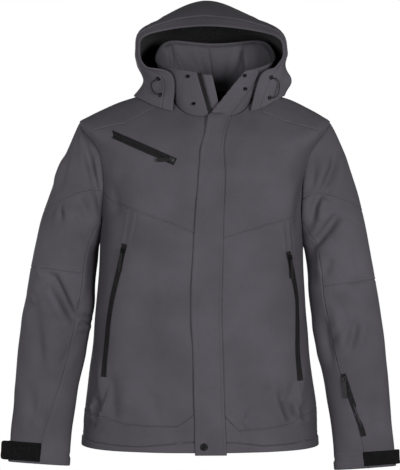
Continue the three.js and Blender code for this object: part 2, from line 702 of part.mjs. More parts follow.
function collarPanels() {
  const make = (marks, lift) =>
    panel({
      surface: collarAt,
      spot: (a, b) => [through(marks.map((mark) => [mark]))(a)[0], mix(COLLAR_FOOT, 1, b)],
      across: marks.length - 1,
      along: COLLAR_STEPS.up,
      lift,
    });
  const run = (from, to, count) => [from, ...stretch(from, to, count)];
  const marks = {
    left: run(COLLAR_EDGE, COLLAR_SPLIT, COLLAR_STEPS.front),
    back: run(COLLAR_SPLIT, 4 - COLLAR_SPLIT, COLLAR_STEPS.back),
    right: run(4 - COLLAR_SPLIT, 4 - COLLAR_EDGE, COLLAR_STEPS.front),
  };
  add("collar_front_left", make(marks.left, 0));
  add("collar_back", make(marks.back, 0));
  add("collar_front_right", make(marks.right, 0));
  const facing = [...marks.left, ...marks.back.slice(1), ...marks.right.slice(1)];
  add("collar_facing", make(facing, -CLOTH - 0.4));
}

// The hood: a brim that is deepest over the face, two sides and a crown.
const BRIM = { top: 0.12, side: 0.045, reach: 0.5 };
const CROWN = 0.36;
const HOOD_STEPS = { crown: 6, side: 11 };
const brimAt = (across) => mix(BRIM.top, BRIM.side, smooth(Math.abs(across) / BRIM.reach));

function hoodPanels() {
  const hoodPanel = (name, spot, across, along) =>
    add(name, panel({ surface: hoodAt, spot, across, along }));
  const sideMarks = stretch(CROWN, 1, HOOD_STEPS.side);
  const crownMarks = [-CROWN, ...stretch(-CROWN, CROWN, HOOD_STEPS.crown)];
  const marks = [...[...sideMarks].reverse().map((mark) => -mark), ...crownMarks, ...sideMarks];
  const over = through(marks.map((mark) => [mark]));
  hoodPanel("hood_brim", (a, b) => [over(a)[0], mix(0, brimAt(over(a)[0]), b)], marks.length - 1, 1);
  const depth = [0, 0.12, 0.25, 0.38, 0.5, 0.62, 0.74, 0.86, 1];
  const narrow = (back) => mix(1, 0.8, back);
  const crown = (a, b) => {
    const across = mix(-CROWN, CROWN, a);
    const back = mix(brimAt(across), 1, b);
    return [across * narrow(b), back];
  };
  hoodPanel("hood_crown", crown, HOOD_STEPS.crown, depth);
  for (const [side, hand] of [[1, "left"], [-1, "right"]]) {
    const spot = (a, b) => {
      const across = mix(CROWN, 1, a);
      return [side * mix(CROWN * narrow(b), 1, a), mix(brimAt(across), 1, b)];
    };
    hoodPanel("hood_side_" + hand, spot, HOOD_STEPS.side, depth);
  }
}

// Strips up the front: the zip's two tapes, the storm flap over them and the guard behind.
const FLAP = table("rise free sewn", [
  [0, -9, 47],
  [0.12, -11, 42],
  [0.28, -14, 39],
  [0.38, -18.5, 37],
  [0.5, -15, 39],
  [0.72, -11, 38],
  [0.9, -8, 34],
  [1, -8, 38],
  [1.4, -8, 40],
  [1.75, -8, 38],
  [2, -7, 20],
]);
const GUARD_DROP = { trunk: -5.9, collar: -7.2 }; // behind the fronts, and behind the collar's facing
const FLAP_RISE = { low: -0.006, high: 1.985 };
const SLIDER_BULGE = { rise: 0.978, spread: 0.045, lift: 6 }; // the flap stands over the hidden slider
const flap = tracks(FLAP, "rise");

// A strip along the front between two distances from the centre front, each a function of the rise.
function strip({ surface = bodyAt, from, to, rises, across = 1, lift, thick, gap = 0 }) {
  const spot = (a, b) => [edgeTurn(b, mix(from(b), to(b), a)), b];
  const liftAt = typeof lift === "function" ? lift : () => lift;
  const grid = { outer: [], inner: [] };
  for (let i = 0; i <= across; i += 1) {
    const rows = rises.map((rise) => {
      const [u, v] = spot(i / across, rise);
      const out = liftAt(mix(from(rise), to(rise), i / across), rise);
      const normal = normalOf(surface, u, v, 1);
      return [out, out - thick].map((d) => surface(u, v).addScaledVector(normal, d));
    });
    grid.outer.push(rows.map((pair) => pair[0]));
    grid.inner.push(rows.map((pair) => pair[1]));
  }
  return closedWall(drawIn(grid.outer, gap), drawIn(grid.inner, gap));
}
const FRONT_RISES = [0, 0.06, 0.12, 0.2, 0.28, 0.33, 0.38, 0.44, 0.5, 0.58, 0.66, 0.74, 0.82, 0.87, 0.91, 0.955];
const COLLAR_RISES = [1, 1.035, 1.1, 1.22, 1.36, 1.5, 1.64, 1.78, 1.9, 1.985];

// The trunk seen from inside the opening, whose far side goes on past the centre front.
const rightBody = (turn, rise) => bodyAt(4 + turn, rise);

function frontStrips() {
  const rises = [...FRONT_RISES, ...COLLAR_RISES];
  const tapes = { from: 0.2, to: ZIP_HALF - 0.4 };
  for (const [side, hand] of [[1, "left"], [-1, "right"]]) {
    const surface = side > 0 ? bodyAt : rightBody;
    const [from, to] = [() => side * tapes.from, () => side * tapes.to];
    add("zip_tape_" + hand, strip({ surface, from, to, rises, lift: -0.3, thick: 1.4 }), BLACK);
  }
  const bulge = (x, rise) =>
    SLIDER_BULGE.lift * Math.exp(-(((rise - SLIDER_BULGE.rise) / SLIDER_BULGE.spread) ** 2)) * smooth((30 - x) / 14);
  const flapRises = [FLAP_RISE.low, ...FRONT_RISES.slice(1), 0.98, ...COLLAR_RISES];
  add(
    "storm_flap",
    strip({
      from: flap.free,
      to: flap.sewn,
      rises: flapRises,
      across: 4,
      lift: (x, rise) => TAPE_LIFT + 0.3 + FLAP_THICK + bulge(x, rise),
      thick: FLAP_THICK,
    }),
  );
  add(
    "zip_guard",
    strip({
      surface: rightBody,
      from: () => -24,
      to: () => 20,
      rises: [0.01, ...FRONT_RISES.slice(1), ...COLLAR_RISES],
      across: 3,
      lift: (x, rise) => mix(GUARD_DROP.trunk, GUARD_DROP.collar, smooth((rise - 0.9) / 0.2)),
      thick: 1.6,
    }),
  );
  const spot = [0, SLIDER_BULGE.rise + 0.012];
  const frame = seat(bodyAt, spot, new THREE.Vector3(0, 0, 1), 1, -0.1);
  const hidden = wasm.Manifold.union([
    solidFrom(plate(sliderOutline(), SLIDER.low, SLIDER.high)),
    solidFrom(box(-17, 1, 2.6, SLIDER.high - 0.1, SLIDER.high + 1.3)),
  ]);
  add("slider_front", geometryOf(hidden).applyMatrix4(frame), METAL);
}

// A zip set in a panel: a tape along a path of points, and its slider and pull tab at one end.
function ribbon({ surface, spots, half, lift = TAPE_LIFT + TAPE_THICK, thick = TAPE_THICK, outward = 1, slant = 0 }) {
  const points = spots.map(([u, v]) => surface(u, v));
  const normals = spots.map(([u, v]) => normalOf(surface, u, v, outward));
  const ways = points.map((_, i) =>
    points[Math.min(points.length - 1, i + 1)].clone().sub(points[Math.max(0, i - 1)]).normalize(),
  );
  const grid = { outer: [], inner: [] };
  for (const share of [-1, 0, 1]) {
    const line = points.map((p, i) => {
      const aside = ways[i].clone().cross(normals[i]).normalize();
      const along = i === 0 ? share * slant : 0;
      return p.clone().addScaledVector(aside, share * half).addScaledVector(ways[i], along);
    });
    grid.outer.push(line.map((p, i) => p.clone().addScaledVector(normals[i], lift)));
    grid.inner.push(line.map((p, i) => p.clone().addScaledVector(normals[i], lift - thick)));
  }
  return closedWall(grid.outer, grid.inner);
}

// Hardware stands in a frame on its surface: X along the zip, Z away from the cloth.
function seat(surface, [u, v], toward, outward = 1, off = 0) {
  const up = normalOf(surface, u, v, outward);
  const along = toward.clone().addScaledVector(up, -toward.dot(up)).normalize();
  const at = surface(u, v).addScaledVector(up, off);
  return new THREE.Matrix4().makeBasis(along, up.clone().cross(along), up).setPosition(at);
}

const solidFrom = (geometry) => {
  const { position } = (geometry.index ? geometry.toNonIndexed() : geometry).attributes;
  const plain = mergeVertices(new THREE.BufferGeometry().setAttribute("position", position), 1e-4);
  return new wasm.Manifold(
    new wasm.Mesh({
      numProp: 3,
      vertProperties: new Float32Array(plain.attributes.position.array),
      triVerts: new Uint32Array(plain.index.array),
    }),
  );
};
const geometryOf = (solid) => {
  const { vertProperties, triVerts } = solid.getMesh();
  const geometry = new THREE.BufferGeometry();
  geometry.setAttribute("position", new THREE.Float32BufferAttribute(vertProperties, 3));
  geometry.setIndex([...triVerts]);
  geometry.computeVertexNormals();
  return geometry;
};

const shapeOf = (points) => new THREE.Shape(points.map(([x, y]) => new THREE.Vector2(x, y)));
function plate(points, low, high, hole) {
  const shape = shapeOf(points);
  if (hole) shape.holes.push(new THREE.Path(hole.map(([x, y]) => new THREE.Vector2(x, y))));
  return new THREE.ExtrudeGeometry(shape, { depth: high - low, bevelEnabled: false }).translate(0, 0, low);
}
const box = (x0, x1, half, low, high) =>
  plate(
    [
      [x0, -half],
      [x1, -half],
      [x1, half],
      [x0, half],
    ],
    low,
    high,
  );

// A slider: a waisted body with a staple on top, through which the pull tab's end bar passes.
const SLIDER = { long: 11, half: 4.4, waist: 3.3, low: 0.3, high: 3.1 };
const STAPLE = { x0: -3.6, x1: 3.6, half: 0.9, clear: 2.7, bar: 1.1, leg: 1.2 };
const TAB = { bar: 1.3, thick: 1.4, eyeHalf: 1.6, half: 3, eye: 4.4 };

function sliderOutline() {
  const { long, half, waist } = SLIDER;
  return [
    [-long / 2, -waist],
    [-long / 2 + 2, -half],
    [long / 2 - 2, -half],
    [long / 2, -waist + 0.8],
    [long / 2, waist - 0.8],
    [long / 2 - 2, half],
    [-long / 2 + 2, half],
    [-long / 2, waist],
  ];
}

function sliderGeometry(twist) {
  const { low, high } = SLIDER;
  const top = high + STAPLE.clear + STAPLE.bar;
  const staple = [
    box(STAPLE.x0, STAPLE.x0 + STAPLE.leg, STAPLE.half, high - 0.4, top),
    box(STAPLE.x1 - STAPLE.leg, STAPLE.x1, STAPLE.half, high - 0.4, top),
    box(STAPLE.x0, STAPLE.x1, STAPLE.half, high + STAPLE.clear, top),
  ].map((part) => solidFrom(part.rotateZ(twist)));
  const body = solidFrom(plate(sliderOutline(), low, high));
  return geometryOf(wasm.Manifold.union([body, ...staple]));
}

// The tab lies along +X from its end bar at the origin.
function tabGeometry(length, half) {
  const { bar, thick, eyeHalf, eye } = TAB;
  const neck = bar / 2 + eye + 1.4;
  const end = [-1, -0.6, 0, 0.6, 1].map((share) => [
    length - 2.4 * share * share,
    share * half * (Math.abs(share) === 1 ? 1 : 1.1),
  ]);
  const outline = [[-bar / 2, -TAB.half], [neck, -TAB.half], [neck + 3, -half], ...end, [neck + 3, half], [neck, TAB.half], [-bar / 2, TAB.half]];
  const hole = [
    [bar / 2, -eyeHalf],
    [bar / 2, eyeHalf],
    [bar / 2 + eye, eyeHalf],
    [bar / 2 + eye, -eyeHalf],
  ];
  return plate(outline, -thick / 2, thick / 2, hole);
}

// One zip with its hardware. hang is the way the tab hangs from the slider, seen from the front, as x and z.
function zipOn({ name, surface, spots, half, outward = 1, sliderEnd, hang, tabLength, tabHalf, slant = 0 }) {
  add("zip_" + name, ribbon({ surface, spots, half, outward, slant }), BLACK);
  const at = sliderEnd === "start" ? 1 : spots.length - 2;
  const spot = spots[at];
  const run = surface(...spots.at(-1)).sub(surface(...spots[0])).normalize();
  const way = sliderEnd === "start" ? run : run.negate();
  const lift = TAPE_LIFT + TAPE_THICK;
  const frame = seat(surface, spot, way, outward, lift);
  const hung = new THREE.Vector3(hang[0], 0, hang[1]);
  const pull = seat(surface, spot, hung, outward, lift + SLIDER.high + STAPLE.clear / 2);
  const [axisX, axisY] = [new THREE.Vector3(), new THREE.Vector3()];
  frame.extractBasis(axisX, axisY, new THREE.Vector3());
  const pullX = new THREE.Vector3().setFromMatrixColumn(pull, 0);
  const twist = Math.atan2(pullX.dot(axisY), pullX.dot(axisX));
  add("slider_" + name, sliderGeometry(twist).applyMatrix4(frame), METAL);
  add("pull_" + name, tabGeometry(tabLength, tabHalf), BLACK).applyMatrix4(pull);
}

const frontSpots = (side, points) =>
  points.map(([x, z]) => {
    const [turn, rise] = onFront(side, x, z);
    return [side > 0 ? turn : 4 - turn, rise];
  });

function zips() {
  zipOn({
    name: "chest",
    surface: trunkAt,
    spots: frontSpots(-1, [[-181, -81], [-160, -90.5], [-139, -100], [-118, -109.5], [-97, -119], [-76, -128.5], [-62, -135], [-55, -138]]),
    half: 8,
    slant: 5,
    sliderEnd: "end",
    hang: [-1, -0.02],
    tabLength: 31,
    tabHalf: 4.2,
  });
  zipOn({
    name: "pocket_right",
    surface: trunkAt,
    spots: frontSpots(-1, [[-159, -306], [-162, -320], [-171, -359.6], [-179, -391], [-186, -421.5], [-191, -452], [-195, -483.8], [-201, -546.7], [-203, -582]]),
    half: 6.5,
    sliderEnd: "start",
    hang: [-0.17, -1],
    tabLength: 44,
    tabHalf: 3.4,
  });
  zipOn({
    name: "pocket_left",
    surface: trunkAt,
    spots: frontSpots(1, [[177, -322], [180, -334], [188.5, -370.6], [193, -396], [196.5, -422], [198, -473], [198, -525], [200, -560], [202, -590]]),
    half: 6.5,
    sliderEnd: "start",
    hang: [0.1, -1],
    tabLength: 44,
    tabHalf: 3.4,
  });
  const along = [0.735, 0.75, 0.79, 0.82, 0.85, 0.88, 0.912];
  zipOn({
    name: "sleeve",
    surface: sleeveAt(1),
    spots: along.map((at) => [UNDER(at) - ZIP_OFF_SEAM, at]),
    half: 5.5,
    sliderEnd: "start",
    hang: [0.1, -1],
    tabLength: 40,
    tabHalf: 3.2,
  });
}
const ZIP_OFF_SEAM = 0.018;

// The strap on each cuff, which stands off the arm's outer edge before it turns to the back.
const CUFF_TABS = { right: { from: 0.942, to: 0.994 }, left: { from: 0.955, to: 0.994 } };
const CUFF_BULGE = { left: 13, right: 20, spread: 0.06 };

function cuffTabs() {
  for (const [side, hand] of [[1, "left"], [-1, "right"]]) {
    const surface = sleeveAt(side);
    const { from, to } = CUFF_TABS[hand];
    const marks = [0.262, 0.21, 0.16, 0.12, 0.09, 0.065, 0.045, 0.025, 0.005, -0.015, -0.035, -0.06, -0.09, -0.13, -0.17];
    const bulge = (around) => CUFF_BULGE[hand] * Math.exp(-((around / CUFF_BULGE.spread) ** 2));
    const grid = { outer: [], inner: [] };
    for (const around of marks) {
      const spots = [from, (from + to) / 2, to].map((along) => [around, along]);
      const layer = (extra) =>
        spots.map(([u, v]) => surface(u, v).addScaledVector(normalOf(surface, u, v, side), bulge(u) + 0.6 + extra));
      grid.outer.push(layer(CUFF_TAB_THICK));
      grid.inner.push(layer(0));
    }
    add("cuff_tab_" + hand, closedWall(grid.outer, grid.inner), BLACK);
  }
}

// Where a surface passes x and z, found from a first guess.
function spotNear(surface, x, z, guess) {
  let [u, v] = guess;
  for (let i = 0; i < 12; i += 1) {
    const step = 1e-3;
    const at = surface(u, v);
    const [du, dv] = [surface(u + step, v).sub(at), surface(u, v + step).sub(at)].map((d) => d.divideScalar(step));
    const det = du.x * dv.z - dv.x * du.z;
    const [ex, ez] = [x - at.x, z - at.z];
    u += (ex * dv.z - dv.x * ez) / det;
    v += (du.x * ez - ex * du.z) / det;
  }
  return [u, v];
}

const lathe = (profile, count) =>
  new THREE.LatheGeometry(
    profile.map(([r, h]) => new THREE.Vector2(r, h)),
    count,
  ).rotateX(Math.PI / 2);

// A press stud's cap, and an eyelet, each standing on its cloth.
const capGeometry = (radius, height) =>
  lathe([[0, 0.3], [radius, 0.3], [radius, height * 0.6], [radius * 0.8, height], [0, height + 0.2]], 20);
const eyeletGeometry = (radius, bore, height) =>
  lathe([[bore, 0.3], [radius, 0.3], [radius, height * 0.5], [radius - 0.8, height], [bore, height], [bore, 0.3]], 14);

// on is the height of the cloth they stand on, above the surface.
const FLAP_TOP = TAPE_LIFT + 0.3 + FLAP_THICK;
const STUDS = table("name x z turn rise on radius height", [
  ["collar_upper", -29, 41, 3.7, 1.8, 1.7, 4.2, 2],
  ["collar_lower", -17, -17, 3.7, 1.3, 2.2, 4.2, 2],
  ["flap_upper", 87, 42, 0.02, 1.85, FLAP_TOP + 1.1, 4.2, 2],
  ["flap_lower", 88, 13, 0.1, 1.55, FLAP_TOP + 2, 4.2, 2],
  ["hem", 4, -722, 0.04, 0.02, FLAP_TOP, 7.7, 3],
]);
const EYELETS = table("name x z across back on", [
  ["left_upper", 144, 41, 0.8, 0.05, 0.2],
  ["left_lower", 141, 0, 0.9, 0.06, 0.2],
  ["right_upper", -91, 40, -0.8, 0.05, 1.4],
  ["right_lower", -87, 5, -0.9, 0.05, 0.4],
]);
const EYELET = { radius: 4.6, bore: 2.3, height: 1.3 };
const CORD = { half: 1.25, out: { left: 20, right: 22 }, lift: 5 };

function fastenings() {
  const north = new THREE.Vector3(0, 0, 1);
  for (const stud of STUDS) {
    const spot = spotNear(bodyAt, stud.x, stud.z, [stud.turn, stud.rise]);
    const frame = seat(bodyAt, spot, north, 1, stud.on);
    add("stud_" + stud.name, capGeometry(stud.radius, stud.height).applyMatrix4(frame), METAL);
  }
  const seats = {};
  for (const eyelet of EYELETS) {
    const spot = spotNear(hoodAt, eyelet.x, eyelet.z, [eyelet.across, eyelet.back]);
    seats[eyelet.name] = seat(hoodAt, spot, north, 1, eyelet.on);
    const ring = eyeletGeometry(EYELET.radius, EYELET.bore, EYELET.height);
    add("eyelet_" + eyelet.name, ring.applyMatrix4(seats[eyelet.name]), METAL);
  }
  for (const [side, hand] of [[1, "left"], [-1, "right"]]) {
    const [a, b] = [seats[hand + "_upper"], seats[hand + "_lower"]];
    const at = (m, x, y, z) => new THREE.Vector3(x, y, z).applyMatrix4(m);
    const reach = -side * CORD.out[hand];
    const path = new THREE.CatmullRomCurve3([
      at(a, 0, 0, 0.6),
      at(a, 0, 0, 3.2),
      at(a, -2, reach * 0.45, CORD.lift + 1),
      at(a, -10, reach * 0.85, CORD.lift),
      at(b, 10, reach * 0.85, CORD.lift),
      at(b, 2, reach * 0.45, CORD.lift + 1),
      at(b, 0, 0, 3.2),
      at(b, 0, 0, 0.6),
    ]);
    add("cord_" + hand, tube(path, 26, CORD.half, 8), BLACK);
  }
}

// A closed tube of even radius along a curve.
function tube(path, along, radius, around) {
  const frames = path.computeFrenetFrames(along, false);
  const rings = Array.from({ length: along + 1 }, (_, i) => {
    const middle = path.getPointAt(i / along);
    return Array.from({ length: around }, (_, j) => {
      const angle = (j / around) * 2 * Math.PI;
      return middle
        .clone()
        .addScaledVector(frames.normals[i], radius * Math.cos(angle))
        .addScaledVector(frames.binormals[i], radius * Math.sin(angle));
    });
  });
  const faces = [];
  for (let i = 0; i < along; i += 1) {
    for (let j = 0; j < around; j += 1) {
      const [a, b] = [i * around + j, i * around + ((j + 1) % around)];
      faces.push(a, a + around, b + around, a, b + around, b);
    }
  }
  for (let j = 1; j < around - 1; j += 1) {
    faces.push(0, j, j + 1);
    faces.push(along * around, along * around + j + 1, along * around + j);
  }
  return facingOut(rings.flat(), faces);
}

trunkPanels();
sleevePanels();
collarPanels();
hoodPanels();
frontStrips();
zips();
cuffTabs();
fastenings();

export default jacket;
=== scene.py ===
"""A hooded softshell jacket over its solids: panels with seams and folds, stitches, zips and trim."""

import math

import bmesh
import bpy
import numpy as np
from bpy.props import FloatProperty, FloatVectorProperty, PointerProperty
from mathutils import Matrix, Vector


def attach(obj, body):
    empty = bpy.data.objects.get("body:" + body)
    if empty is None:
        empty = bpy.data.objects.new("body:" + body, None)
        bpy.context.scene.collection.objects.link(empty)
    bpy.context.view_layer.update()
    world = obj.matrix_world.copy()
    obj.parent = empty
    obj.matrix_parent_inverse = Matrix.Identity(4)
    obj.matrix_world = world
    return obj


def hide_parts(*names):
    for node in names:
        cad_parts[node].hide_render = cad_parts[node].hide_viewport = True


bl_info = {
    "name": "Softshell jacket",
    "version": (1, 0, 0),
    "blender": (4, 5, 0),
    "location": "3D View > Sidebar > Jacket",
    "description": "Builds a hooded softshell jacket from its cut panels",
    "category": "Add Mesh",
}

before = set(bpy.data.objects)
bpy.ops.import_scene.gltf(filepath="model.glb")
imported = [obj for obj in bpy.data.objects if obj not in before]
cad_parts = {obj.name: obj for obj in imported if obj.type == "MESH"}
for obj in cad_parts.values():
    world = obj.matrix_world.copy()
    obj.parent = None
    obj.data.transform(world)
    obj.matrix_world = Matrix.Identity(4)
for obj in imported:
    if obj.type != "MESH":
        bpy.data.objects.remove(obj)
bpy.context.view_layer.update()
GARMENT = "garment"
MM = 0.001

# Curves through tables

def track(x, y):
    """A smooth curve through points, with no overshoot between them."""
    x, y = np.asarray(x, float), np.asarray(y, float)
    rise = np.diff(y) / np.diff(x)
    slope = np.empty(len(x))
    slope[0], slope[-1] = rise[0], rise[-1]
    before, after = rise[:-1], rise[1:]
    total = np.where(before + after == 0, 1, before + after)
    slope[1:-1] = np.where(before * after <= 0, 0, 2 * before * after / total)

    def at(value):
        value = np.asarray(value, float)
        i = np.clip(np.searchsorted(x, value, side="left") - 1, 0, len(rise) - 1)
        span = x[i + 1] - x[i]
        u = np.clip((value - x[i]) / span, 0, 1)
        u2, u3 = u * u, u * u * u
        return (
            y[i] * (2 * u3 - 3 * u2 + 1)
            + slope[i] * span * (u3 - 2 * u2 + u)
            + y[i + 1] * (3 * u2 - 2 * u3)
            + slope[i + 1] * span * (u3 - u2)
        )

    return at


class Tracks:
    """One curve for each column of a table, by its first column."""

    def __init__(self, columns, rows):
        names = columns.split()
        values = np.array(rows, float)
        for i, name in enumerate(names[1:], 1):
            setattr(self, name, track(values[:, 0], values[:, i]))


def mix(a, b, u):
    return a + (b - a) * u


def smooth(u):
    c = np.clip(u, 0, 1)
    return c * c * (3 - 2 * c)


def unit(v):
    return v / np.maximum(np.linalg.norm(v, axis=-1, keepdims=True), 1e-9)


def points(x, y, z):
    return np.stack(np.broadcast_arrays(x, y, z), -1).astype(float)


# The jacket's surfaces, in millimetres, as the solids have them

CLOTH = 2.4
SEAM_GAP = 0.02
ZIP_HALF = 7.0
FLAP_THICK = 3.0
FLAP_TOP = 3.8
HOOD_LIFT = 3.6

# The large folds, ridge or trough: face, start and end seen from the front or back, spread, height
FOLDS = [
    ("front", 212, -560, 200, -650, 9, 4),
    ("front", 190, -590, 176, -665, 10, -3.5),
    ("front", -214, -560, -204, -655, 8, 4.5),
    ("front", -188, -580, -180, -670, 11, -4),
    ("front", 118, -545, 134, -625, 12, -3),
    ("front", 152, -600, 168, -672, 10, 3),
    ("front", 172, -118, 186, -230, 12, 3),
    ("front", -176, -120, -188, -230, 12, 3),
    ("back", 120, -470, 30, -520, 16, -4),
    ("back", -120, -480, -30, -530, 16, -4),
    ("back", 170, -250, 120, -330, 14, 3.5),
    ("back", -170, -250, -120, -330, 14, 3.5),
    ("sleeve", 236, -118, 232, -205, 9, -5),
    ("sleeve", -236, -118, -230, -210, 9, -5),
    ("sleeve", 286, -245, 240, -300, 11, -4.5),
    ("sleeve", -268, -250, -236, -300, 11, -4.5),
    ("sleeve", -318, -385, -262, -470, 12, -6),
    ("sleeve", -352, -392, -318, -460, 12, 5),
    ("sleeve", 272, -415, 318, -500, 13, -5),
    ("sleeve", 300, -400, 348, -440, 12, 4),
    ("sleeve", 262, -520, 300, -470, 10, -4),
    ("sleeve", -262, -520, -306, -486, 10, -4),
]
# Finer creases, made only here: face, spread, height, and the places it runs through as x and z
CREASES = [
    ("sleeve", 7, -7, [-252, -73, -242, -115, -227, -165, -217, -206, -211, -256]),
    ("sleeve", 3.6, 3.4, [-255, -56, -256, -90, -252, -135]),
    ("sleeve", 5, 4.2, [-290, -217, -281, -254]),
    ("sleeve", 5, 3.4, [-298, -219, -304, -258]),
    ("sleeve", 6, -3.4, [-294, -221, -293, -273]),
    ("sleeve", 7, 4, [-294, -110, -313, -188]),
    ("sleeve", 6, -3.4, [-281, -106, -298, -198]),
    ("sleeve", 11, -5.4, [-263, -206, -246, -229, -231, -260]),
    ("sleeve", 11, 3.6, [-242, -185, -215, -281]),
    ("sleeve", 10, -6.5, [-221, -290, -229, -360, -231, -433]),
    ("sleeve", 9, -13, [-333, -375, -321, -370, -307, -378, -293, -408, -281, -435, -269, -458, -256, -465]),
    ("sleeve", 12, 5.5, [-342, -388, -313, -423, -292, -469]),
    ("sleeve", 4.4, -5, [-267, -458, -248, -457, -229, -460]),
    ("sleeve", 4.4, -4.4, [-261, -475, -231, -473]),
    ("sleeve", 5, -3.2, [-263, -492, -238, -494]),
    ("sleeve", 6, -3.2, [-254, -423, -256, -452]),
    ("sleeve", 4.4, 4.6, [-347, -346, -342, -363, -336, -381]),
    ("sleeve", 4.4, 4.6, [-363, -404, -350, -435]),
    ("sleeve", 11, -5.4, [-358, -419, -350, -452, -342, -485, -329, -573]),
    ("sleeve", 13, 3.8, [-327, -477, -313, -594]),
    ("sleeve", 9, -4, [-296, -565, -269, -513]),
    ("sleeve", 13, -3.6, [-363, -585, -336, -698]),
    ("sleeve", 10, -3.2, [-319, -598, -338, -694]),
    ("sleeve", 8, 3.4, [-338, -615, -346, -706]),
    ("sleeve", 8, -8.5, [282, -96, 277, -142, 258, -183, 235, -227, 225, -285]),
    ("sleeve", 10, 5, [294, -106, 287, -194]),
    ("sleeve", 4.4, -4, [271, -185, 259, -206, 269, -221]),
    ("sleeve", 7, 5, [252, -204, 243, -265]),
    ("sleeve", 8, -8, [289, -238, 260, -275, 225, -323]),
    ("sleeve", 11, 4.6, [304, -248, 273, -302]),
    ("sleeve", 9, -4.4, [271, -333, 252, -377]),
    ("sleeve", 10, -7, [229, -285, 227, -344, 233, -402]),
    ("sleeve", 8, -5.6, [325, -448, 317, -494, 302, -542]),
    ("sleeve", 11, 3.6, [342, -460, 323, -535]),
    ("sleeve", 10, -6.4, [250, -452, 260, -506, 273, -569]),
    ("sleeve", 12, 4.2, [279, -419, 292, -535]),
    ("sleeve", 13, -3.4, [354, -617, 369, -702]),
    ("sleeve", 6, -3, [298, -385, 358, -383]),
    ("sleeve", 10, -3, [312, -294, 329, -369]),
    ("front", 4.4, 5.4, [-188, -595, -200, -634, -213, -667, -229, -692]),
    ("front", 4.4, -4.2, [-209, -665, -235, -692]),
    ("front", 4.2, 4.6, [-229, -634, -230, -682]),
    ("front", 4.2, -4.6, [-220, -622, -219, -657]),
    ("front", 4.4, -3.8, [-234, -649, -239, -696]),
    ("front", 8.5, -6.4, [155, -599, 173, -645, 191, -682]),
    ("front", 6, -4.6, [202, -640, 220, -680]),
    ("front", 8, 5, [184, -620, 204, -671]),
    ("front", 3.4, -2.6, [79, -692, 100, -640]),
    ("front", 3.4, 2.2, [93, -686, 81, -649]),
    ("front", 15, -3.4, [-105, -603, -93, -682]),
    ("front", 15, 3, [-149, -583, -161, -657]),
    ("front", 18, -2.8, [54, -479, 62, -632]),
    ("front", 18, 2.8, [115, -479, 124, -616]),
    ("front", 11, -5, [223, -145, 204, -215, 196, -298]),
    ("front", 10, -4.4, [-188, -170, -173, -252]),
    ("front", 18, 2.8, [-153, -137, -126, -273]),
    ("front", 16, 2.8, [95, -46, 144, -174]),
    ("front", 16, 2.4, [-116, -149, -62, -244]),
    ("front", 14, -2.4, [54, -46, 41, -248]),
    ("front", 20, -2.6, [-107, -298, -116, -504]),
    ("front", 20, 2.6, [-62, -422, -70, -628]),
    ("back", 26.4, -3.5, [60, -160, 0, -420]),
    ("back", 26.4, 3.2, [-80, -180, -20, -420]),
    ("back", 10.8, -4.2, [200, -560, 150, -640]),
    ("back", 10.8, -4.2, [-200, -570, -150, -650]),
]
# Which way along Y each face looks, and the depth over which a fold fades out past it
FACING = {"front": -1, "back": 1, "sleeve": -1}
FACE_FADE = 40
FOLD_END = 0.35  # the share of a fold's length over which each end fades
CREASE_END = 0.3
CREASE_SWELL = 0.45  # the height of the swell beside a crease, as a share of the crease's own


def on_face(p, face):
    return smooth(p[..., 1] * FACING[face] / FACE_FADE + 0.5)


def crease_height(kind, p):
    """Creases along bent lines, each a trough or ridge with a softer swell beside it."""
    total = np.zeros(p.shape[:-1])
    for face, spread, height, places in CREASES:
        if (kind == "sleeve") != (face == "sleeve"):
            continue
        spots = np.array(places, float).reshape(-1, 2)
        lengths = np.linalg.norm(np.diff(spots, axis=0), axis=1)
        nearest = np.full(total.shape, 1e9)
        side, share = np.zeros(total.shape), np.zeros(total.shape)
        for i, long in enumerate(lengths):
            way = (spots[i + 1] - spots[i]) / long
            x, z = p[..., 0] - spots[i][0], p[..., 2] - spots[i][1]
            run = np.clip(x * way[0] + z * way[1], 0, long)
            off = np.hypot(x - run * way[0], z - run * way[1])
            closer = off < nearest
            nearest = np.where(closer, off, nearest)
            side = np.where(closer, x * way[1] - z * way[0], side)
            share = np.where(closer, (lengths[:i].sum() + run) / lengths.sum(), share)
        ends = smooth(share / CREASE_END) * smooth((1 - share) / CREASE_END)
        signed = np.copysign(nearest, side) / spread
        form = np.exp(-(signed**2)) - CREASE_SWELL * np.exp(-(((signed - 2) / 1.3) ** 2))
        total += height * form * ends * on_face(p, face)
    return total


def fold_height(kind, p):
    """The large folds, each a straight trough or ridge."""
    total = np.zeros(p.shape[:-1])
    for face, x0, z0, x1, z1, spread, height in FOLDS:
        if (kind == "sleeve") != (face == "sleeve"):
            continue
        dx, dz = x1 - x0, z1 - z0
        long2 = dx * dx + dz * dz
        along = ((p[..., 0] - x0) * dx + (p[..., 2] - z0) * dz) / long2
        off = np.abs((p[..., 0] - x0) * dz - (p[..., 2] - z0) * dx) / math.sqrt(long2)
        ends = smooth(along / FOLD_END + 0.5) * smooth((1 - along) / FOLD_END + 0.5)
        total += height * np.exp(-((off / spread) ** 2)) * ends * on_face(p, face)
    return total


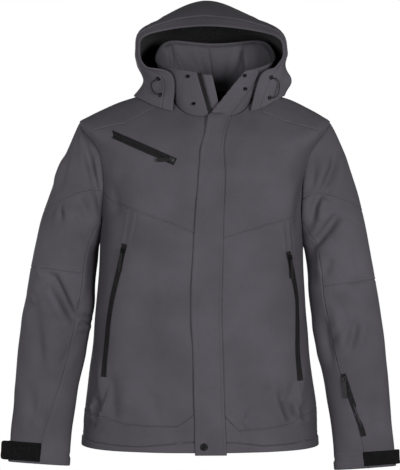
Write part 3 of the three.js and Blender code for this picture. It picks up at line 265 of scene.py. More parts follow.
TRUNK = Tracks("rise half front back zFront zSide zBack square bend shift tilt", [
    [-0.02, 252, 114, 104, -751, -746, -751, 0.09, 2, -4, 0],
    [0.0, 251, 115, 105, -736, -732, -736, 0.09, 2, -4, 0],
    [0.12, 245, 121, 112, -648, -646, -650, 0.09, 2, -3, 0],
    [0.28, 229, 130, 119, -518, -515, -518, 0.08, 2, -3, -0.01],
    [0.38, 222, 137, 123, -432, -428, -432, 0.07, 2, -2, -0.03],
    [0.5, 216, 144, 130, -312, -308, -312, 0.06, 2, -1, -0.06],
    [0.6, 219, 142, 131, -232, -215, -232, 0.05, 2, 2, -0.08],
    [0.72, 231, 132, 126, -168, -112, -140, 0.05, 2.1, 5, -0.05],
    [0.82, 266, 116, 110, -118, -48, -58, 0.04, 2.4, 6, -0.02],
    [0.845, 248, 112.56, 104.2, -105.91, -35, -40.7, 0.036, 2.525, 7.3, -0.013],
    [0.91, 169, 104, 86, -76, 2, -3, 0.02, 3, 14, 0],
    [1.0, 94, 90, 62, -41, 20, 28, 0, 4, 22, 0],
])
QUARTER = math.pi / 2


def trunk_bare(turn, rise):
    """turn runs round in quarters from the centre front over +X, rise from the hem to the neck seam."""
    turn, rise = np.broadcast_arrays(np.asarray(turn, float), np.asarray(rise, float))
    angle = turn * QUARTER
    square = TRUNK.square(rise) * np.sin(2 * angle)
    ahead = np.cos(angle - square)
    side = np.abs(np.sin(angle)) ** TRUNK.bend(rise)
    before = np.cos(angle) > 0
    depth = np.where(before, TRUNK.front(rise), TRUNK.back(rise))
    end = np.where(before, TRUNK.zFront(rise), TRUNK.zBack(rise))
    across = TRUNK.half(rise) * np.sin(angle + square)
    fade = 1 - smooth((np.abs(across) - 150) / 100)
    z = mix(end, TRUNK.zSide(rise), side) + TRUNK.tilt(rise) * across * fade
    return points(across + TRUNK.shift(rise), -ahead * depth, z)


def normal_of(surface, u, v, outward=1):
    """The outward normal, by small steps of the surface's two parameters."""
    step = 0.004
    u, v = np.broadcast_arrays(np.asarray(u, float), np.asarray(v, float))
    du = surface(u + step, v) - surface(u - step, v)
    top = np.minimum(1, v + step)
    dv = surface(u, top) - surface(u, top - 2 * step)
    return unit(np.cross(du, dv)) * outward


def worn(bare, kind, outward=1):
    """A surface with its large folds."""

    def at(u, v):
        p = bare(u, v)
        lift = fold_height(kind, p)
        return p + normal_of(bare, u, v, outward) * lift[..., None]

    return at


trunk_at = worn(trunk_bare, "trunk")


def on_front(side, x, z):
    """The turn and rise of the front's point at x and z."""
    low, high, turn = 0.0, 1.0, 0.0
    for _ in range(40):
        rise = (low + high) / 2
        sine = min(1.0, side * (x - float(TRUNK.shift(rise))) / float(TRUNK.half(rise)))
        angle = math.asin(sine)
        for _ in range(6):
            angle = math.asin(sine) - float(TRUNK.square(rise)) * math.sin(2 * angle)
        turn = angle / QUARTER
        if trunk_bare(side * turn, rise)[2] < z:
            low = rise
        else:
            high = rise
    return [turn, (low + high) / 2]


# The armhole on the trunk: the rise of its middle, and how far it reaches from there in rise and in turn
ARM_MIDDLE = 0.66
ARM_RISE = 0.16
ARM_TURN = 0.24
# How far from the armhole the trunk's and the sleeve's walls still lean, in its radii and along the sleeve
LEAN_TRUNK = 0.06
LEAN_SLEEVE = 0.015


def armhole(around):
    """The armhole's closed curve on the trunk: 0 is the shoulder tip, 0.25 the front, 0.5 the underarm."""
    angle = np.asarray(around, float) * 2 * math.pi
    return np.stack([1 - ARM_TURN * np.sin(angle), ARM_MIDDLE + ARM_RISE * np.cos(angle)], -1)


SLEEVE = Tracks("along x y z half deep", [
    [0.41, 291, -2, -345, 69.5, 74],
    [0.545, 303, -6, -435, 73, 68],
    [0.66, 316, -14, -519, 72, 60],
    [0.78, 328, -24, -606, 66.5, 48],
    [0.905, 338, -34, -697, 64, 34],
    [1.0, 343, -42, -768, 63, 25],
])
CAP_END = 0.41
CUFF_DROP = 9  # how much lower the left cuff hangs
# How steeply each sleeve leaves its shoulder tip, in radians, and how far that way carries
SHOULDER = {1: (0.95, 0.55), -1: (1.15, 0.5)}


def sleeve_ring(around, along):
    def middle(at):
        return points(SLEEVE.x(at), SLEEVE.y(at), SLEEVE.z(at))

    down = unit(middle(np.minimum(1, along + 0.01)) - middle(np.maximum(CAP_END, along - 0.01)))
    outward = unit(points(-down[..., 2], 0, down[..., 0]))
    forward = unit(points(0, -1, 0) + down * down[..., 1:2])
    angle = around * 2 * math.pi
    p = (
        middle(along)
        + outward * (SLEEVE.half(along) * np.cos(angle))[..., None]
        + forward * (SLEEVE.deep(along) * np.sin(angle))[..., None]
    )
    return p, down


def sleeve_bare(side, around, along):
    """The sleeve's head runs from the armhole's curve into the first ring of its tube."""
    around, along = np.broadcast_arrays(np.asarray(around, float), np.asarray(along, float))
    tube, _ = sleeve_ring(around, np.maximum(CAP_END, along))
    end, down = sleeve_ring(around, np.full(around.shape, CAP_END))
    hole = armhole(around)
    start = trunk_bare(side * hole[..., 0], hole[..., 1])
    start = start * [side, 1, 1]
    reach = np.linalg.norm(end - start, axis=-1)
    under = (1 - np.cos(around * 2 * math.pi)) / 2
    steep, carry = SHOULDER[side]
    drop = mix(steep, 1.0, under)
    leave = points(np.cos(drop), -0.25 * np.sin(around * 2 * math.pi), -np.sin(drop))
    u = (np.minimum(along, CAP_END) / CAP_END)[..., None]
    u2, u3 = u * u, u * u * u
    cap = (
        start * (2 * u3 - 3 * u2 + 1)
        + leave * (u3 - 2 * u2 + u) * (reach * mix(carry, 0.4, under))[..., None]
        + end * (3 * u2 - 2 * u3)
        + down * (u3 - u2) * reach[..., None]
    )
    return np.where((along >= CAP_END)[..., None], tube, cap)


def sleeve_at(side):
    def bare(around, along):
        p = sleeve_bare(side, around, along)
        if side > 0:
            drop = CUFF_DROP * smooth((np.asarray(along, float) - CAP_END) / (1 - CAP_END))
            p = p - points(0, 0, 1) * np.broadcast_to(drop, p.shape[:-1])[..., None]
        return p * [side, 1, 1]

    return worn(bare, "sleeve", side)


def mitre(side, around):
    """At the armhole the trunk's and the sleeve's walls lean along the mean of their normals."""
    hole = armhole(around)
    turn = hole[..., 0] if side > 0 else 4 - hole[..., 0]
    ahead = normal_of(trunk_at, turn, hole[..., 1])
    return unit(ahead + normal_of(sleeve_at(side), around, np.zeros(np.shape(around)), side))


def trunk_normal(turn, rise):
    plain = normal_of(trunk_at, turn, rise)
    out = plain.copy()
    for side in (1, -1):
        near = turn if side > 0 else 4 - turn
        a, b = (1 - near) / ARM_TURN, (rise - ARM_MIDDLE) / ARM_RISE
        off = np.abs(np.hypot(a, b) - 1) / LEAN_TRUNK
        pick = off < 1
        if pick.any():
            lean = mitre(side, np.arctan2(a, b)[pick] / (2 * math.pi))
            out[pick] = unit(mix(plain[pick], lean, (1 - off[pick])[:, None]))
    return out


def sleeve_normal(side):
    surface = sleeve_at(side)

    def at(around, along):
        plain = normal_of(surface, around, along, side)
        share = np.clip(1 - along / LEAN_SLEEVE, 0, 1)[..., None]
        return unit(mix(plain, mitre(side, around), share)) if share.any() else plain

    return at


COLLAR_RIM = {
    "middle": 29, "half": 129, "front": 84, "back": 84, "low": 50, "high": 130, "bulge": 2, "dip": 11,
    "square": 0.13,
}
COLLAR_OPEN = {"right": 0.56, "left": 0.25}  # how far each end stands from the centre front, in radians


def collar_at(turn, up):
    turn, up = np.broadcast_arrays(np.asarray(turn, float), np.asarray(up, float))
    foot = trunk_bare(turn, np.ones(turn.shape))
    open_angle = COLLAR_OPEN["right"] + COLLAR_OPEN["left"]
    angle = COLLAR_OPEN["right"] + (2 * math.pi - open_angle) * turn / 4
    corner = np.where(np.cos(angle) < 0, np.sin(2 * angle), 0)
    ahead = np.cos(angle - COLLAR_RIM["square"] * corner)
    rim = points(
        COLLAR_RIM["middle"] + COLLAR_RIM["half"] * np.sin(angle + COLLAR_RIM["square"] * corner),
        -ahead * np.where(ahead > 0, COLLAR_RIM["front"], COLLAR_RIM["back"]),
        mix(COLLAR_RIM["low"], COLLAR_RIM["high"], (1 - ahead) / 2) + COLLAR_RIM["dip"] * corner**2,
    )
    swell = COLLAR_RIM["bulge"] * np.sin(math.pi * up)
    p = mix(foot, rim, up[..., None])
    return p + points(swell * np.sin(turn * QUARTER), -swell * np.cos(turn * QUARTER), 0 * swell)


def body_at(turn, rise):
    """The trunk and the collar as one surface, the collar from rise 1 to 2."""
    rise = np.asarray(rise, float)
    low = trunk_at(turn, np.minimum(rise, 1))
    high = collar_at(turn, np.maximum(rise - 1, 0))
    return np.where(np.broadcast_to(rise <= 1, low.shape[:-1])[..., None], low, high)


def right_body(turn, rise):
    return body_at(4 + np.asarray(turn, float), rise)


HOOD_FOOT = Tracks("back turn rise", [
    [0.0, 0.5, 0.975],
    [0.1, 0.69, 0.94],
    [0.3, 0.97, 0.92],
    [0.55, 1.45, 0.925],
    [0.78, 1.78, 0.94],
    [0.9, 1.9, 0.955],
    [1.0, 1.97, 0.965],
])
HOOD_BACKS = [0, 0.1, 0.3, 0.55, 0.78, 0.9, 1]
# Each knot of the hood's arches, from its knee to its top: half width, y and z at every one of HOOD_BACKS
HOOD_KNOTS = [
    [[93, -76, 44], [134, -52, 34], [155, -6, 40], [150, 50, 42],
     [108, 106, 44], [58, 112, 44], [14, 90, 28]],
    [[136, -66, 62], [151, -46, 66], [159, 0, 74], [153, 60, 80],
     [118, 122, 80], [68, 130, 70], [15, 92, 30]],
    [[152, -56, 96], [161, -38, 100], [160, 8, 112], [148, 66, 122],
     [116, 134, 114], [68, 144, 98], [12, 94, 32]],
    [[131, -50, 134], [137, -32, 150], [117, 16, 168], [99, 74, 182],
     [86, 138, 158], [48, 150, 122], [7, 95, 33]],
    [[0, -46, 153], [0, -28, 172], [0, 24, 205], [0, 82, 224],
     [0, 138, 195], [0, 152, 146], [0, 96, 34]],
]
HOOD_MIDDLES = [30, 18, 16, 12, 6]
HOOD_LEAN = [0, 1, 4, 4, 0]  # added to each towards the face
HOOD_TRACKS = [
    Tracks("back half y z", [[back, *row] for back, row in zip(HOOD_BACKS, rows)]) for rows in HOOD_KNOTS
]
# Dents and bumps of the hood's skirt: x, y, z, spread, height
HOOD_BUMPS = [
    (176, -14, 40, 15, 8),
    (160, -44, 12, 13, -4),
    (-92, -58, 24, 17, -9),
    (-122, -30, 44, 16, 4),
]
ARCH = np.array([0, 0.2, 0.35, 0.48, 0.63, 1])


def hood_bare(across, back):
    across, back = np.broadcast_arrays(np.asarray(across, float), np.asarray(back, float))
    side = np.where(across < 0, -1.0, 1.0)
    up = 1 - np.minimum(1, np.abs(across))
    turn, rise = side * HOOD_FOOT.turn(back), HOOD_FOOT.rise(back)
    foot = trunk_bare(turn, rise) + normal_of(trunk_bare, turn, rise) * HOOD_LIFT
    knots = [foot, foot]
    for middle, lean, at in zip(HOOD_MIDDLES, HOOD_LEAN, HOOD_TRACKS):
        centre = middle + lean * (1 - smooth((back - 0.2) / 0.4))
        knots.append(points(centre + side * at.half(back), at.y(back), at.z(back)))
    beyond = knots[5] * [-1, 1, 1] + [2 * HOOD_MIDDLES[-1], 0, 0]
    knots = np.stack([*knots, beyond])
    i = np.clip(np.searchsorted(ARCH, up, side="left") - 1, 0, 4)
    u = ((up - ARCH[i]) / (ARCH[i + 1] - ARCH[i]))[..., None]

    def pick(step):
        return np.take_along_axis(knots, (i + step)[None, ..., None], axis=0)[0]

    a, b, c, d = pick(0), pick(1), pick(2), pick(3)
    low = 2 * b + (c - a) * u + (2 * a - 5 * b + 4 * c - d) * u * u
    return 0.5 * (low + (3 * b - a - 3 * c + d) * u**3)


def hood_at(across, back):
    p = hood_bare(across, back)
    lift = np.zeros(p.shape[:-1])
    for x, y, z, spread, height in HOOD_BUMPS:
        lift += height * np.exp(-((p - [x, y, z]) ** 2).sum(-1) / spread**2)
    return p + normal_of(hood_bare, across, back) * lift[..., None]


# Patches of a surface between four seams

def straight(start, end):
    start, end = np.asarray(start, float), np.asarray(end, float)
    return lambda u: start + (end - start) * np.asarray(u, float)[..., None]


def through(spots):
    spots = np.asarray(spots, float)
    at = np.linspace(0, 1, len(spots))
    return lambda u: np.stack([np.interp(u, at, column) for column in spots.T], -1)


def chain(*parts):
    """Edges end to end: each a pair of the share it ends at and its curve."""

    def at(u):
        u = np.asarray(u, float)
        out, start = None, 0.0
        for end, curve in parts:
            here = curve(np.clip((u - start) / (end - start), 0, 1))
            out = here if out is None else np.where((u > start + 1e-9)[..., None], here, out)
            start = end
        return out

    return at


def coons(low, high, near, far):
    corner = [low(0.0), low(1.0), high(0.0), high(1.0)]

    def at(a, b):
        a, b = np.broadcast_arrays(np.asarray(a, float), np.asarray(b, float))
        s, t = a[..., None], b[..., None]
        ruled = mix(low(a), high(a), t) + mix(near(b), far(b), s)
        return ruled - mix(mix(corner[0], corner[1], s), mix(corner[2], corner[3], s), t)

    return at


def trunk_patch(middle, *edges):
    """The same on the trunk, with a turn taken as a distance from the middle one."""

    def flat(edge):
        def at(u):
            spot = edge(u)
            return np.stack([(spot[..., 0] - middle) * TRUNK.half(spot[..., 1]), spot[..., 1]], -1)

        return at

    patch = coons(*[flat(edge) for edge in edges])

    def at(a, b):
        spot = patch(a, b)
        return np.stack([middle + spot[..., 0] / TRUNK.half(spot[..., 1]), spot[..., 1]], -1)

    return at


def flipped(edge):
    return lambda u: edge(u) * [-1, 1] + [4, 0]


def edge_turn(rise, out=ZIP_HALF):
    return np.asarray(out, float) / TRUNK.half(np.minimum(1, rise)) / QUARTER


def front_edge(rise):
    rise = np.asarray(rise, float)
    return np.stack([edge_turn(rise), rise], -1)


def arm_edge(start, end):
    return lambda u: armhole(mix(start, end, np.asarray(u, float)))


def neck_seam(start, end):
    return straight([start, 1], [end, 1])


# Seams of the front by side, as x and z, from the height of the first at the front edge
FRONT_SEAMS = {
    "left": {
        "chevron": (-303, [[47, -292], [90, -279], [130, -267], [165, -257], [198, -248]]),
        "hem": (-650, [[45, -658], [74, -690], [124, -687], [180, -680], [200, -668]]),
        "yoke": [[126, -30], [168, -49]],
    },
    "right": {
        "chevron": (-290, [[-25, -279], [-70, -261], [-110, -247], [-148, -233], [-182, -222]]),
        "hem": (-655, [[-25, -663], [-48, -681], [-104, -681], [-159, -678], [-203, -666]]),
        "yoke": [[-100, -20], [-160, -55]],
    },
}
HEM_SIDE = 0.115
YOKE_NECK = [0.7, 1]
YOKE_ARM = 0.16
YOKE_BACK_ARM = 0.84
YOKE_CENTRE = [2, 0.7]
CHEVRON_ARM = 0.295
HANDS = {"left": 1, "right": -1}
FRONT_SIDE = chain((0.7, straight([1, HEM_SIDE], armhole(0.5))), (1, arm_edge(0.5, CHEVRON_ARM)))
BACK_SIDE = chain(
    (0.12, straight([1, 0], [1, HEM_SIDE])),
    (0.6, straight([1, HEM_SIDE], armhole(0.5))),
    (1, arm_edge(0.5, YOKE_BACK_ARM)),
)


def front_cut(hand):
    """The patches of one front and its yoke seam."""
    side, seams = HANDS[hand], FRONT_SEAMS[hand]

    def from_edge(start, row, end):
        rise = on_front(side, float(TRUNK.shift(0.5)) + side * ZIP_HALF, start)[1]
        spots = [list(front_edge(rise)), *[on_front(side, x, z) for x, z in row], list(end)]
        return through(spots)

    chevron = from_edge(*seams["chevron"], armhole(CHEVRON_ARM))
    hem_seam = from_edge(*seams["hem"], [1, HEM_SIDE])
    yoke_spots = [on_front(side, x, z) for x, z in seams["yoke"]]
    yoke_seam = through([YOKE_NECK, *yoke_spots, list(armhole(YOKE_ARM))])
    top = chain((0.5, neck_seam(float(edge_turn(1)), YOKE_NECK[0])), (1, yoke_seam))
    chevron_rise, hem_rise = chevron(0.0)[1], hem_seam(0.0)[1]

    def edge(start, end):
        return lambda u: front_edge(mix(start, end, np.asarray(u, float)))

    return {
        "yoke_seam": yoke_seam,
        "chest": trunk_patch(0, chevron, top, edge(chevron_rise, 1), arm_edge(CHEVRON_ARM, YOKE_ARM)),
        "front": trunk_patch(0, hem_seam, chevron, edge(hem_rise, chevron_rise), FRONT_SIDE),
        "hem": trunk_patch(
            0,
            straight([float(edge_turn(0)), 0], [1, 0]),
            hem_seam,
            edge(0, hem_rise),
            straight([1, 0], [1, HEM_SIDE]),
        ),
    }


CUT = {hand: front_cut(hand) for hand in HANDS}


def mirrored(spot, side):
    return spot if side > 0 else (lambda a, b: spot(a, b) * [-1, 1] + [4, 0])


# Panels

STITCH_LINE = 6.0  # how far a seam's topstitch lies from it
INSIDE_SHARE = 0.6  # how much of its face's form the inside of a panel takes
LEAST_WALL = 1.2
NEAR_EDGE = [0, 0.4, 0.9, 1.6, 2.6, 3.8, 5.1, 6.0, 6.9, 8.2, 10.5, 13.5]
HEM_LINE = 22.0  # the row of stitches along a turned hem or cuff
NEAR_HEM = [0, 0.5, 1.3, 3, 6, 10, 14, 17.5, 19.5, 20.8, 21.5, 22.0, 22.5, 23.2, 24.5, 27, 30]


def marks(length, step, low, high):
    """Shares along an edge of that length, closer together at the ends that carry a seam."""
    start, end = (
        [d for d in {"none": [0], "hem": NEAR_HEM}.get(kind, NEAR_EDGE) if d < length * 0.45]
        for kind in (low, high)
    )
    inner = length - start[-1] - end[-1]
    count = max(1, round(inner / step))
    middle = [start[-1] + inner * i / count for i in range(1, count)]
    return np.array([*start, *middle, *[length - d for d in reversed(end)]]) / length


WAVES = np.array([
    [0.021, 0.013, 0.031], [-0.034, 0.02, 0.017], [0.011, -0.04, 0.024],
    [0.052, 0.031, -0.013], [-0.017, 0.05, 0.046], [0.066, -0.028, 0.037],
])


def wobble(p):
    """The slight unevenness of cloth, a few hand widths long."""
    total = np.zeros(p.shape[:-1])
    for i, wave in enumerate(WAVES):
        total += np.sin(p @ wave * 1.6 + 1.7 * i) / (1 + 0.35 * i)
    return total / 2.6


def running(grid, axis):
    """Distance run along one axis of a grid of points."""
    step = np.linalg.norm(np.diff(grid, axis=axis), axis=-1)
    zero = np.zeros_like(np.take(step, [0], axis=axis))
    return np.concatenate([zero, np.cumsum(step, axis=axis)], axis=axis)


def seam_form(kind, d, p):
    """How far the cloth's face stands off at a distance from an edge of that kind."""
    if kind == "none":
        return np.zeros_like(d)
    if kind == "plain":
        return -0.5 * np.exp(-((d / 1.1) ** 2))
    if kind == "free":
        roll = np.clip(1 - d / 1.3, 0, 1)
        return -1.3 * (1 - np.sqrt(np.clip(1 - roll**2, 0, 1))) + 0.4 * np.exp(-(((d - 4) / 3) ** 2))
    pucker = np.sin(p @ np.array([0.42, 0.33, 0.47]) + 2 * np.sin(p @ np.array([0.05, 0.07, 0.06])))
    if kind == "hem":
        edge = -1.6 * (1 - np.sqrt(np.clip(1 - np.clip(1 - d / 3, 0, 1) ** 2, 0, 1)))
        band = 1.9 * smooth((HEM_LINE - d) / 5) + 0.3 * pucker * np.exp(-(((d - HEM_LINE) / 9) ** 2))
        return edge + band - 2.2 * np.exp(-(((d - HEM_LINE - 0.4) / 1.1) ** 2))
    form = -1.25 * np.exp(-((d / 1.5) ** 2)) + 0.22 * pucker * np.exp(-d / 7)
    if kind == "top":
        form += 0.5 * np.exp(-(((d - 3) / 2) ** 2)) - 0.5 * np.exp(-(((d - STITCH_LINE) / 0.8) ** 2))
    return form


class Panel:
    """A cut piece: the grid of its outer and inner points, and lines on it for stitches."""

    def __init__(self, surface, spot, edges="top top top top", outward=1, lift=0.0, thick=CLOTH,
                 step=6.0, gap=SEAM_GAP, wave=0.9, creases="trunk", extra=None, normals=None):
        a, b = np.meshgrid(np.linspace(0, 1, 13), np.linspace(0, 1, 13), indexing="ij")
        coarse = spot(a, b)
        rough = surface(coarse[..., 0], coarse[..., 1])
        wide = float(running(rough, 0)[-1].mean())
        long = float(running(rough, 1)[:, -1].mean())
        kinds = edges.split()  # low and high along b, near and far along a
        self.a = marks(wide, step, kinds[2], kinds[3])
        self.b = marks(long, step, kinds[0], kinds[1])
        self.size = (wide, long)
        a, b = np.meshgrid(self.a, self.b, indexing="ij")
        where = spot(a, b)
        u, v = self.where = where[..., 0], where[..., 1]
        base = surface(u, v)
        normal = normals(u, v) if normals else normal_of(surface, u, v, outward)
        far, high = running(base, 0), running(base, 1)
        reach = [high, high[:, -1:] - high, far, far[-1:] - far]
        form = sum(seam_form(kind, d, base) for kind, d in zip(kinds, reach))
        if creases:
            form = form + crease_height(creases, base)
        form = form + wave * wobble(base)
        if extra:
            form = form + extra(base, u, v, reach)
        base = self.draw_in(base, gap)
        self.outer = base + normal * (lift + form)[..., None]
        under = np.minimum(lift - thick + form * INSIDE_SHARE, lift + form - min(LEAST_WALL, thick))
        self.inner = base + normal * under[..., None]
        self.normal = normal

    @staticmethod
    def draw_in(grid, gap):
        grid = grid.copy()
        for near, next_one in ((0, 1), (-1, -2)):
            grid[near] += unit(grid[next_one] - grid[near]) * gap
            grid[:, near] += unit(grid[:, next_one] - grid[:, near]) * gap
        return grid

    def line(self, edge, off=STITCH_LINE):
        """A line of points and normals beside one edge, for a row of stitches."""
        wide, long = self.size
        if edge in ("low", "high"):
            at = self.b * long if edge == "low" else (1 - self.b) * long
            j = int(np.abs(at - off).argmin())
            path, up = self.outer[:, j], self.normal[:, j]
        else:
            at = self.a * wide if edge == "near" else (1 - self.a) * wide
            i = int(np.abs(at - off).argmin())
            path, up = self.outer[i], self.normal[i]
        return path, up


def wall_mesh(name, outer, inner, second=True):
    """A closed wall from two grids, as Blender's mesh: its inside takes the second material."""
    n, m = outer.shape[:2]
    at = np.arange(n * m).reshape(n, m)
    far = n * m
    a, b, c, d = at[:-1, :-1], at[1:, :-1], at[1:, 1:], at[:-1, 1:]
    face = np.stack([a, b, c, d], -1).reshape(-1, 4)
    back = np.stack([a, d, c, b], -1).reshape(-1, 4) + far

    def rim(line):
        return np.stack([line[1:], line[:-1], line[:-1] + far, line[1:] + far], -1)

    rims = np.concatenate([rim(at[:, 0]), rim(at[::-1, -1]), rim(at[0, ::-1]), rim(at[-1])])
    quads = np.concatenate([face, back, rims])
    verts = np.concatenate([outer.reshape(-1, 3), inner.reshape(-1, 3)]) * MM
    tri = np.concatenate([quads[:, [0, 1, 2]], quads[:, [0, 2, 3]]])
    p, q, r = verts[tri[:, 0]], verts[tri[:, 1]], verts[tri[:, 2]]
    if np.einsum("ij,ij->", p, np.cross(q, r)) < 0:
        quads = quads[:, ::-1]
    mesh = bpy.data.meshes.new(name)
    mesh.vertices.add(len(verts))
    mesh.vertices.foreach_set("co", verts.ravel())
    mesh.loops.add(quads.size)
    mesh.loops.foreach_set("vertex_index", quads.ravel().astype(np.int32))
    mesh.polygons.add(len(quads))
    mesh.polygons.foreach_set("loop_start", np.arange(0, quads.size, 4, dtype=np.int32))
    which = np.zeros(len(quads), np.int32)
    if second:
        which[len(face) : len(face) + len(back)] = 1
    mesh.polygons.foreach_set("material_index", which)
    mesh.update(calc_edges=True)
    mesh.shade_smooth()
    mesh.set_sharp_from_angle(angle=math.radians(50))
    mesh.validate()
    return mesh


def put(name, mesh, materials, slot, *nodes, body=GARMENT):
    """Adds a piece that rides on a body and stands for CAD nodes."""
    obj = bpy.data.objects.new(name, mesh)
    bpy.context.scene.collection.objects.link(obj)
    for material in materials:
        mesh.materials.append(material)
    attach(obj, body)
    if nodes:
        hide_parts(*nodes)
    return obj


STITCH_ROWS = []  # filled by the panels, sewn last


def cloth(node, panel, rests=(), inside="fleece", stitched=(), held="hung"):
    """One cut piece of cloth in place of its CAD node."""
    mesh = wall_mesh(node + "_cloth", panel.outer, panel.inner)
    obj = put(node + "_cloth", mesh, [finish("shell"), finish(inside)], "shell", node)
    list(rests)
    for edge in stitched:
        STITCH_ROWS.append(panel.line(edge))


# Finishes

def settings():
    return bpy.context.scene.jacket


def node_material(name, build):
    """A node material made once by build(add, link, shader)."""
    found = bpy.data.materials.get(name)
    if found:
        return found
    material = bpy.data.materials.new(name)
    material.use_nodes = True
    tree = material.node_tree
    shader = tree.nodes["Principled BSDF"]

    def add(kind, **values):
        node = tree.nodes.new(kind)
        for key, value in values.items():
            if key in node.inputs:
                node.inputs[key].default_value = value
            else:
                setattr(node, key, value)
        return node

    build(add, tree.links.new, shader)
    return material


def noise(add, link, where, scale, detail=2.0, roughness=0.5):
    node = add("ShaderNodeTexNoise", Scale=scale, Detail=detail, Roughness=roughness)
    link(where.outputs["Object"], node.inputs["Vector"])
    return node.outputs["Fac"]


def tinted(add, link, shader, fac, dark, light, low=0.35, high=0.65):
    ramp = add("ShaderNodeValToRGB")
    ramp.color_ramp.elements[0].position, ramp.color_ramp.elements[1].position = low, high
    ramp.color_ramp.elements[0].color = (*dark, 1)
    ramp.color_ramp.elements[1].color = (*light, 1)
    link(fac, ramp.inputs["Fac"])
    link(ramp.outputs["Color"], shader.inputs["Base Color"])


def raised(add, link, shader, heights):
    """Bump from several (height socket, strength, distance) stacked on each other."""
    before = None
    for socket, strength, distance in heights:
        bump = add("ShaderNodeBump", Strength=strength, Distance=distance)
        link(socket, bump.inputs["Height"])
        if before:
            link(before, bump.inputs["Normal"])
        before = bump.outputs["Normal"]
    link(before, shader.inputs["Normal"])


def look(shader, values):
    for name, value in values.items():
        shader.inputs[name].default_value = value


def shade(colour, by):
    return tuple(channel * by for channel in colour)


def build_shell(add, link, shader):
    where = add("ShaderNodeTexCoord")
    colour = tuple(settings().cloth.colour)
    fine = noise(add, link, where, 900, 3)
    patch = noise(add, link, where, 9, 3)
    both = add("ShaderNodeMath", operation="ADD")
    link(fine, both.inputs[0])
    link(patch, both.inputs[1])
    half = add("ShaderNodeMath", operation="MULTIPLY")
    link(both.outputs[0], half.inputs[0])
    half.inputs[1].default_value = 0.5
    tinted(add, link, shader, half.outputs[0], shade(colour, 0.86), shade(colour, 1.14), 0.4, 0.6)
    weave = noise(add, link, where, settings().cloth.weave, 2, 0.6)
    soft = noise(add, link, where, 26, 4, 0.55)
    raised(add, link, shader, [(weave, 0.35, 0.0003), (soft, 0.25, 0.004)])
    look(shader, {
        "Roughness": 0.82, "Specular IOR Level": 0.16,
        "Sheen Weight": 0.04, "Sheen Roughness": 0.4,
    })


def build_fleece(add, link, shader):
    where = add("ShaderNodeTexCoord")
    colour = tuple(settings().cloth.fleece)
    tuft = add("ShaderNodeTexVoronoi", Scale=420)
    link(where.outputs["Object"], tuft.inputs["Vector"])
    curl = noise(add, link, where, 160, 4, 0.65)
    tinted(add, link, shader, curl, shade(colour, 0.55), shade(colour, 1.5), 0.3, 0.7)
    raised(add, link, shader, [(tuft.outputs["Distance"], 0.6, 0.0012), (curl, 0.7, 0.003)])
    look(shader, {"Roughness": 0.95, "Sheen Weight": 0.05, "Sheen Roughness": 0.6})


def build_facing(add, link, shader):
    where = add("ShaderNodeTexCoord")
    colour = shade(tuple(settings().cloth.colour), 0.95)
    fine = noise(add, link, where, 700, 3)
    tinted(add, link, shader, fine, shade(colour, 0.85), shade(colour, 1.15))
    soft = noise(add, link, where, 40, 4, 0.6)
    raised(add, link, shader, [(fine, 0.35, 0.0004), (soft, 0.35, 0.004)])
    look(shader, {"Roughness": 0.9, "Sheen Weight": 0.04})


def build_tape(add, link, shader):
    where = add("ShaderNodeTexCoord")
    colour = tuple(settings().zips.colour)
    rib = add("ShaderNodeTexWave", Scale=420, Distortion=1.5, Detail=2.0)
    rib.bands_direction = "DIAGONAL"
    link(where.outputs["Object"], rib.inputs["Vector"])
    patch = noise(add, link, where, 60, 3)
    tinted(add, link, shader, patch, shade(colour, 0.8), shade(colour, 1.25))
    raised(add, link, shader, [(rib.outputs["Fac"], 0.3, 0.0002), (patch, 0.15, 0.001)])
    look(shader, {"Roughness": 0.72, "Specular IOR Level": 0.25})


def build_metal(add, link, shader):
    where = add("ShaderNodeTexCoord")
    wear = noise(add, link, where, 300, 4, 0.6)
    tinted(add, link, shader, wear, (0.012, 0.012, 0.014), (0.05, 0.05, 0.055), 0.4, 0.75)
    rough = add("ShaderNodeMapRange")
    rough.inputs["To Min"].default_value = 0.26
    rough.inputs["To Max"].default_value = 0.5
    link(wear, rough.inputs["Value"])
    link(rough.outputs["Result"], shader.inputs["Roughness"])
    raised(add, link, shader, [(wear, 0.08, 0.0004)])
    look(shader, {"Metallic": 0.85})


def build_bright_metal(add, link, shader):
    where = add("ShaderNodeTexCoord")
    wear = noise(add, link, where, 400, 4, 0.6)
    tinted(add, link, shader, wear, (0.16, 0.16, 0.165), (0.34, 0.34, 0.35), 0.35, 0.7)
    raised(add, link, shader, [(wear, 0.08, 0.0003)])
    look(shader, {"Metallic": 0.9, "Roughness": 0.33})


def build_pull(add, link, shader):
    where = add("ShaderNodeTexCoord")
    grip = add("ShaderNodeTexWave", Scale=190, Distortion=0.2)
    grip.bands_direction = "Z"
    link(where.outputs["Object"], grip.inputs["Vector"])
    grain = noise(add, link, where, 700, 3)
    tinted(add, link, shader, grain, (0.004, 0.004, 0.0045), (0.0095, 0.0095, 0.0105))
    raised(add, link, shader, [(grip.outputs["Fac"], 0.35, 0.0005), (grain, 0.15, 0.0003)])
    look(shader, {"Roughness": 0.5})


def build_cord(add, link, shader):
    where = add("ShaderNodeTexCoord")
    braid = add("ShaderNodeTexWave", Scale=520, Distortion=3.0, Detail=1.0)
    link(where.outputs["Object"], braid.inputs["Vector"])
    tinted(add, link, shader, braid.outputs["Fac"], (0.006, 0.006, 0.007), (0.022, 0.022, 0.024), 0.2, 0.8)
    raised(add, link, shader, [(braid.outputs["Fac"], 0.5, 0.0004)])
    look(shader, {"Roughness": 0.7})


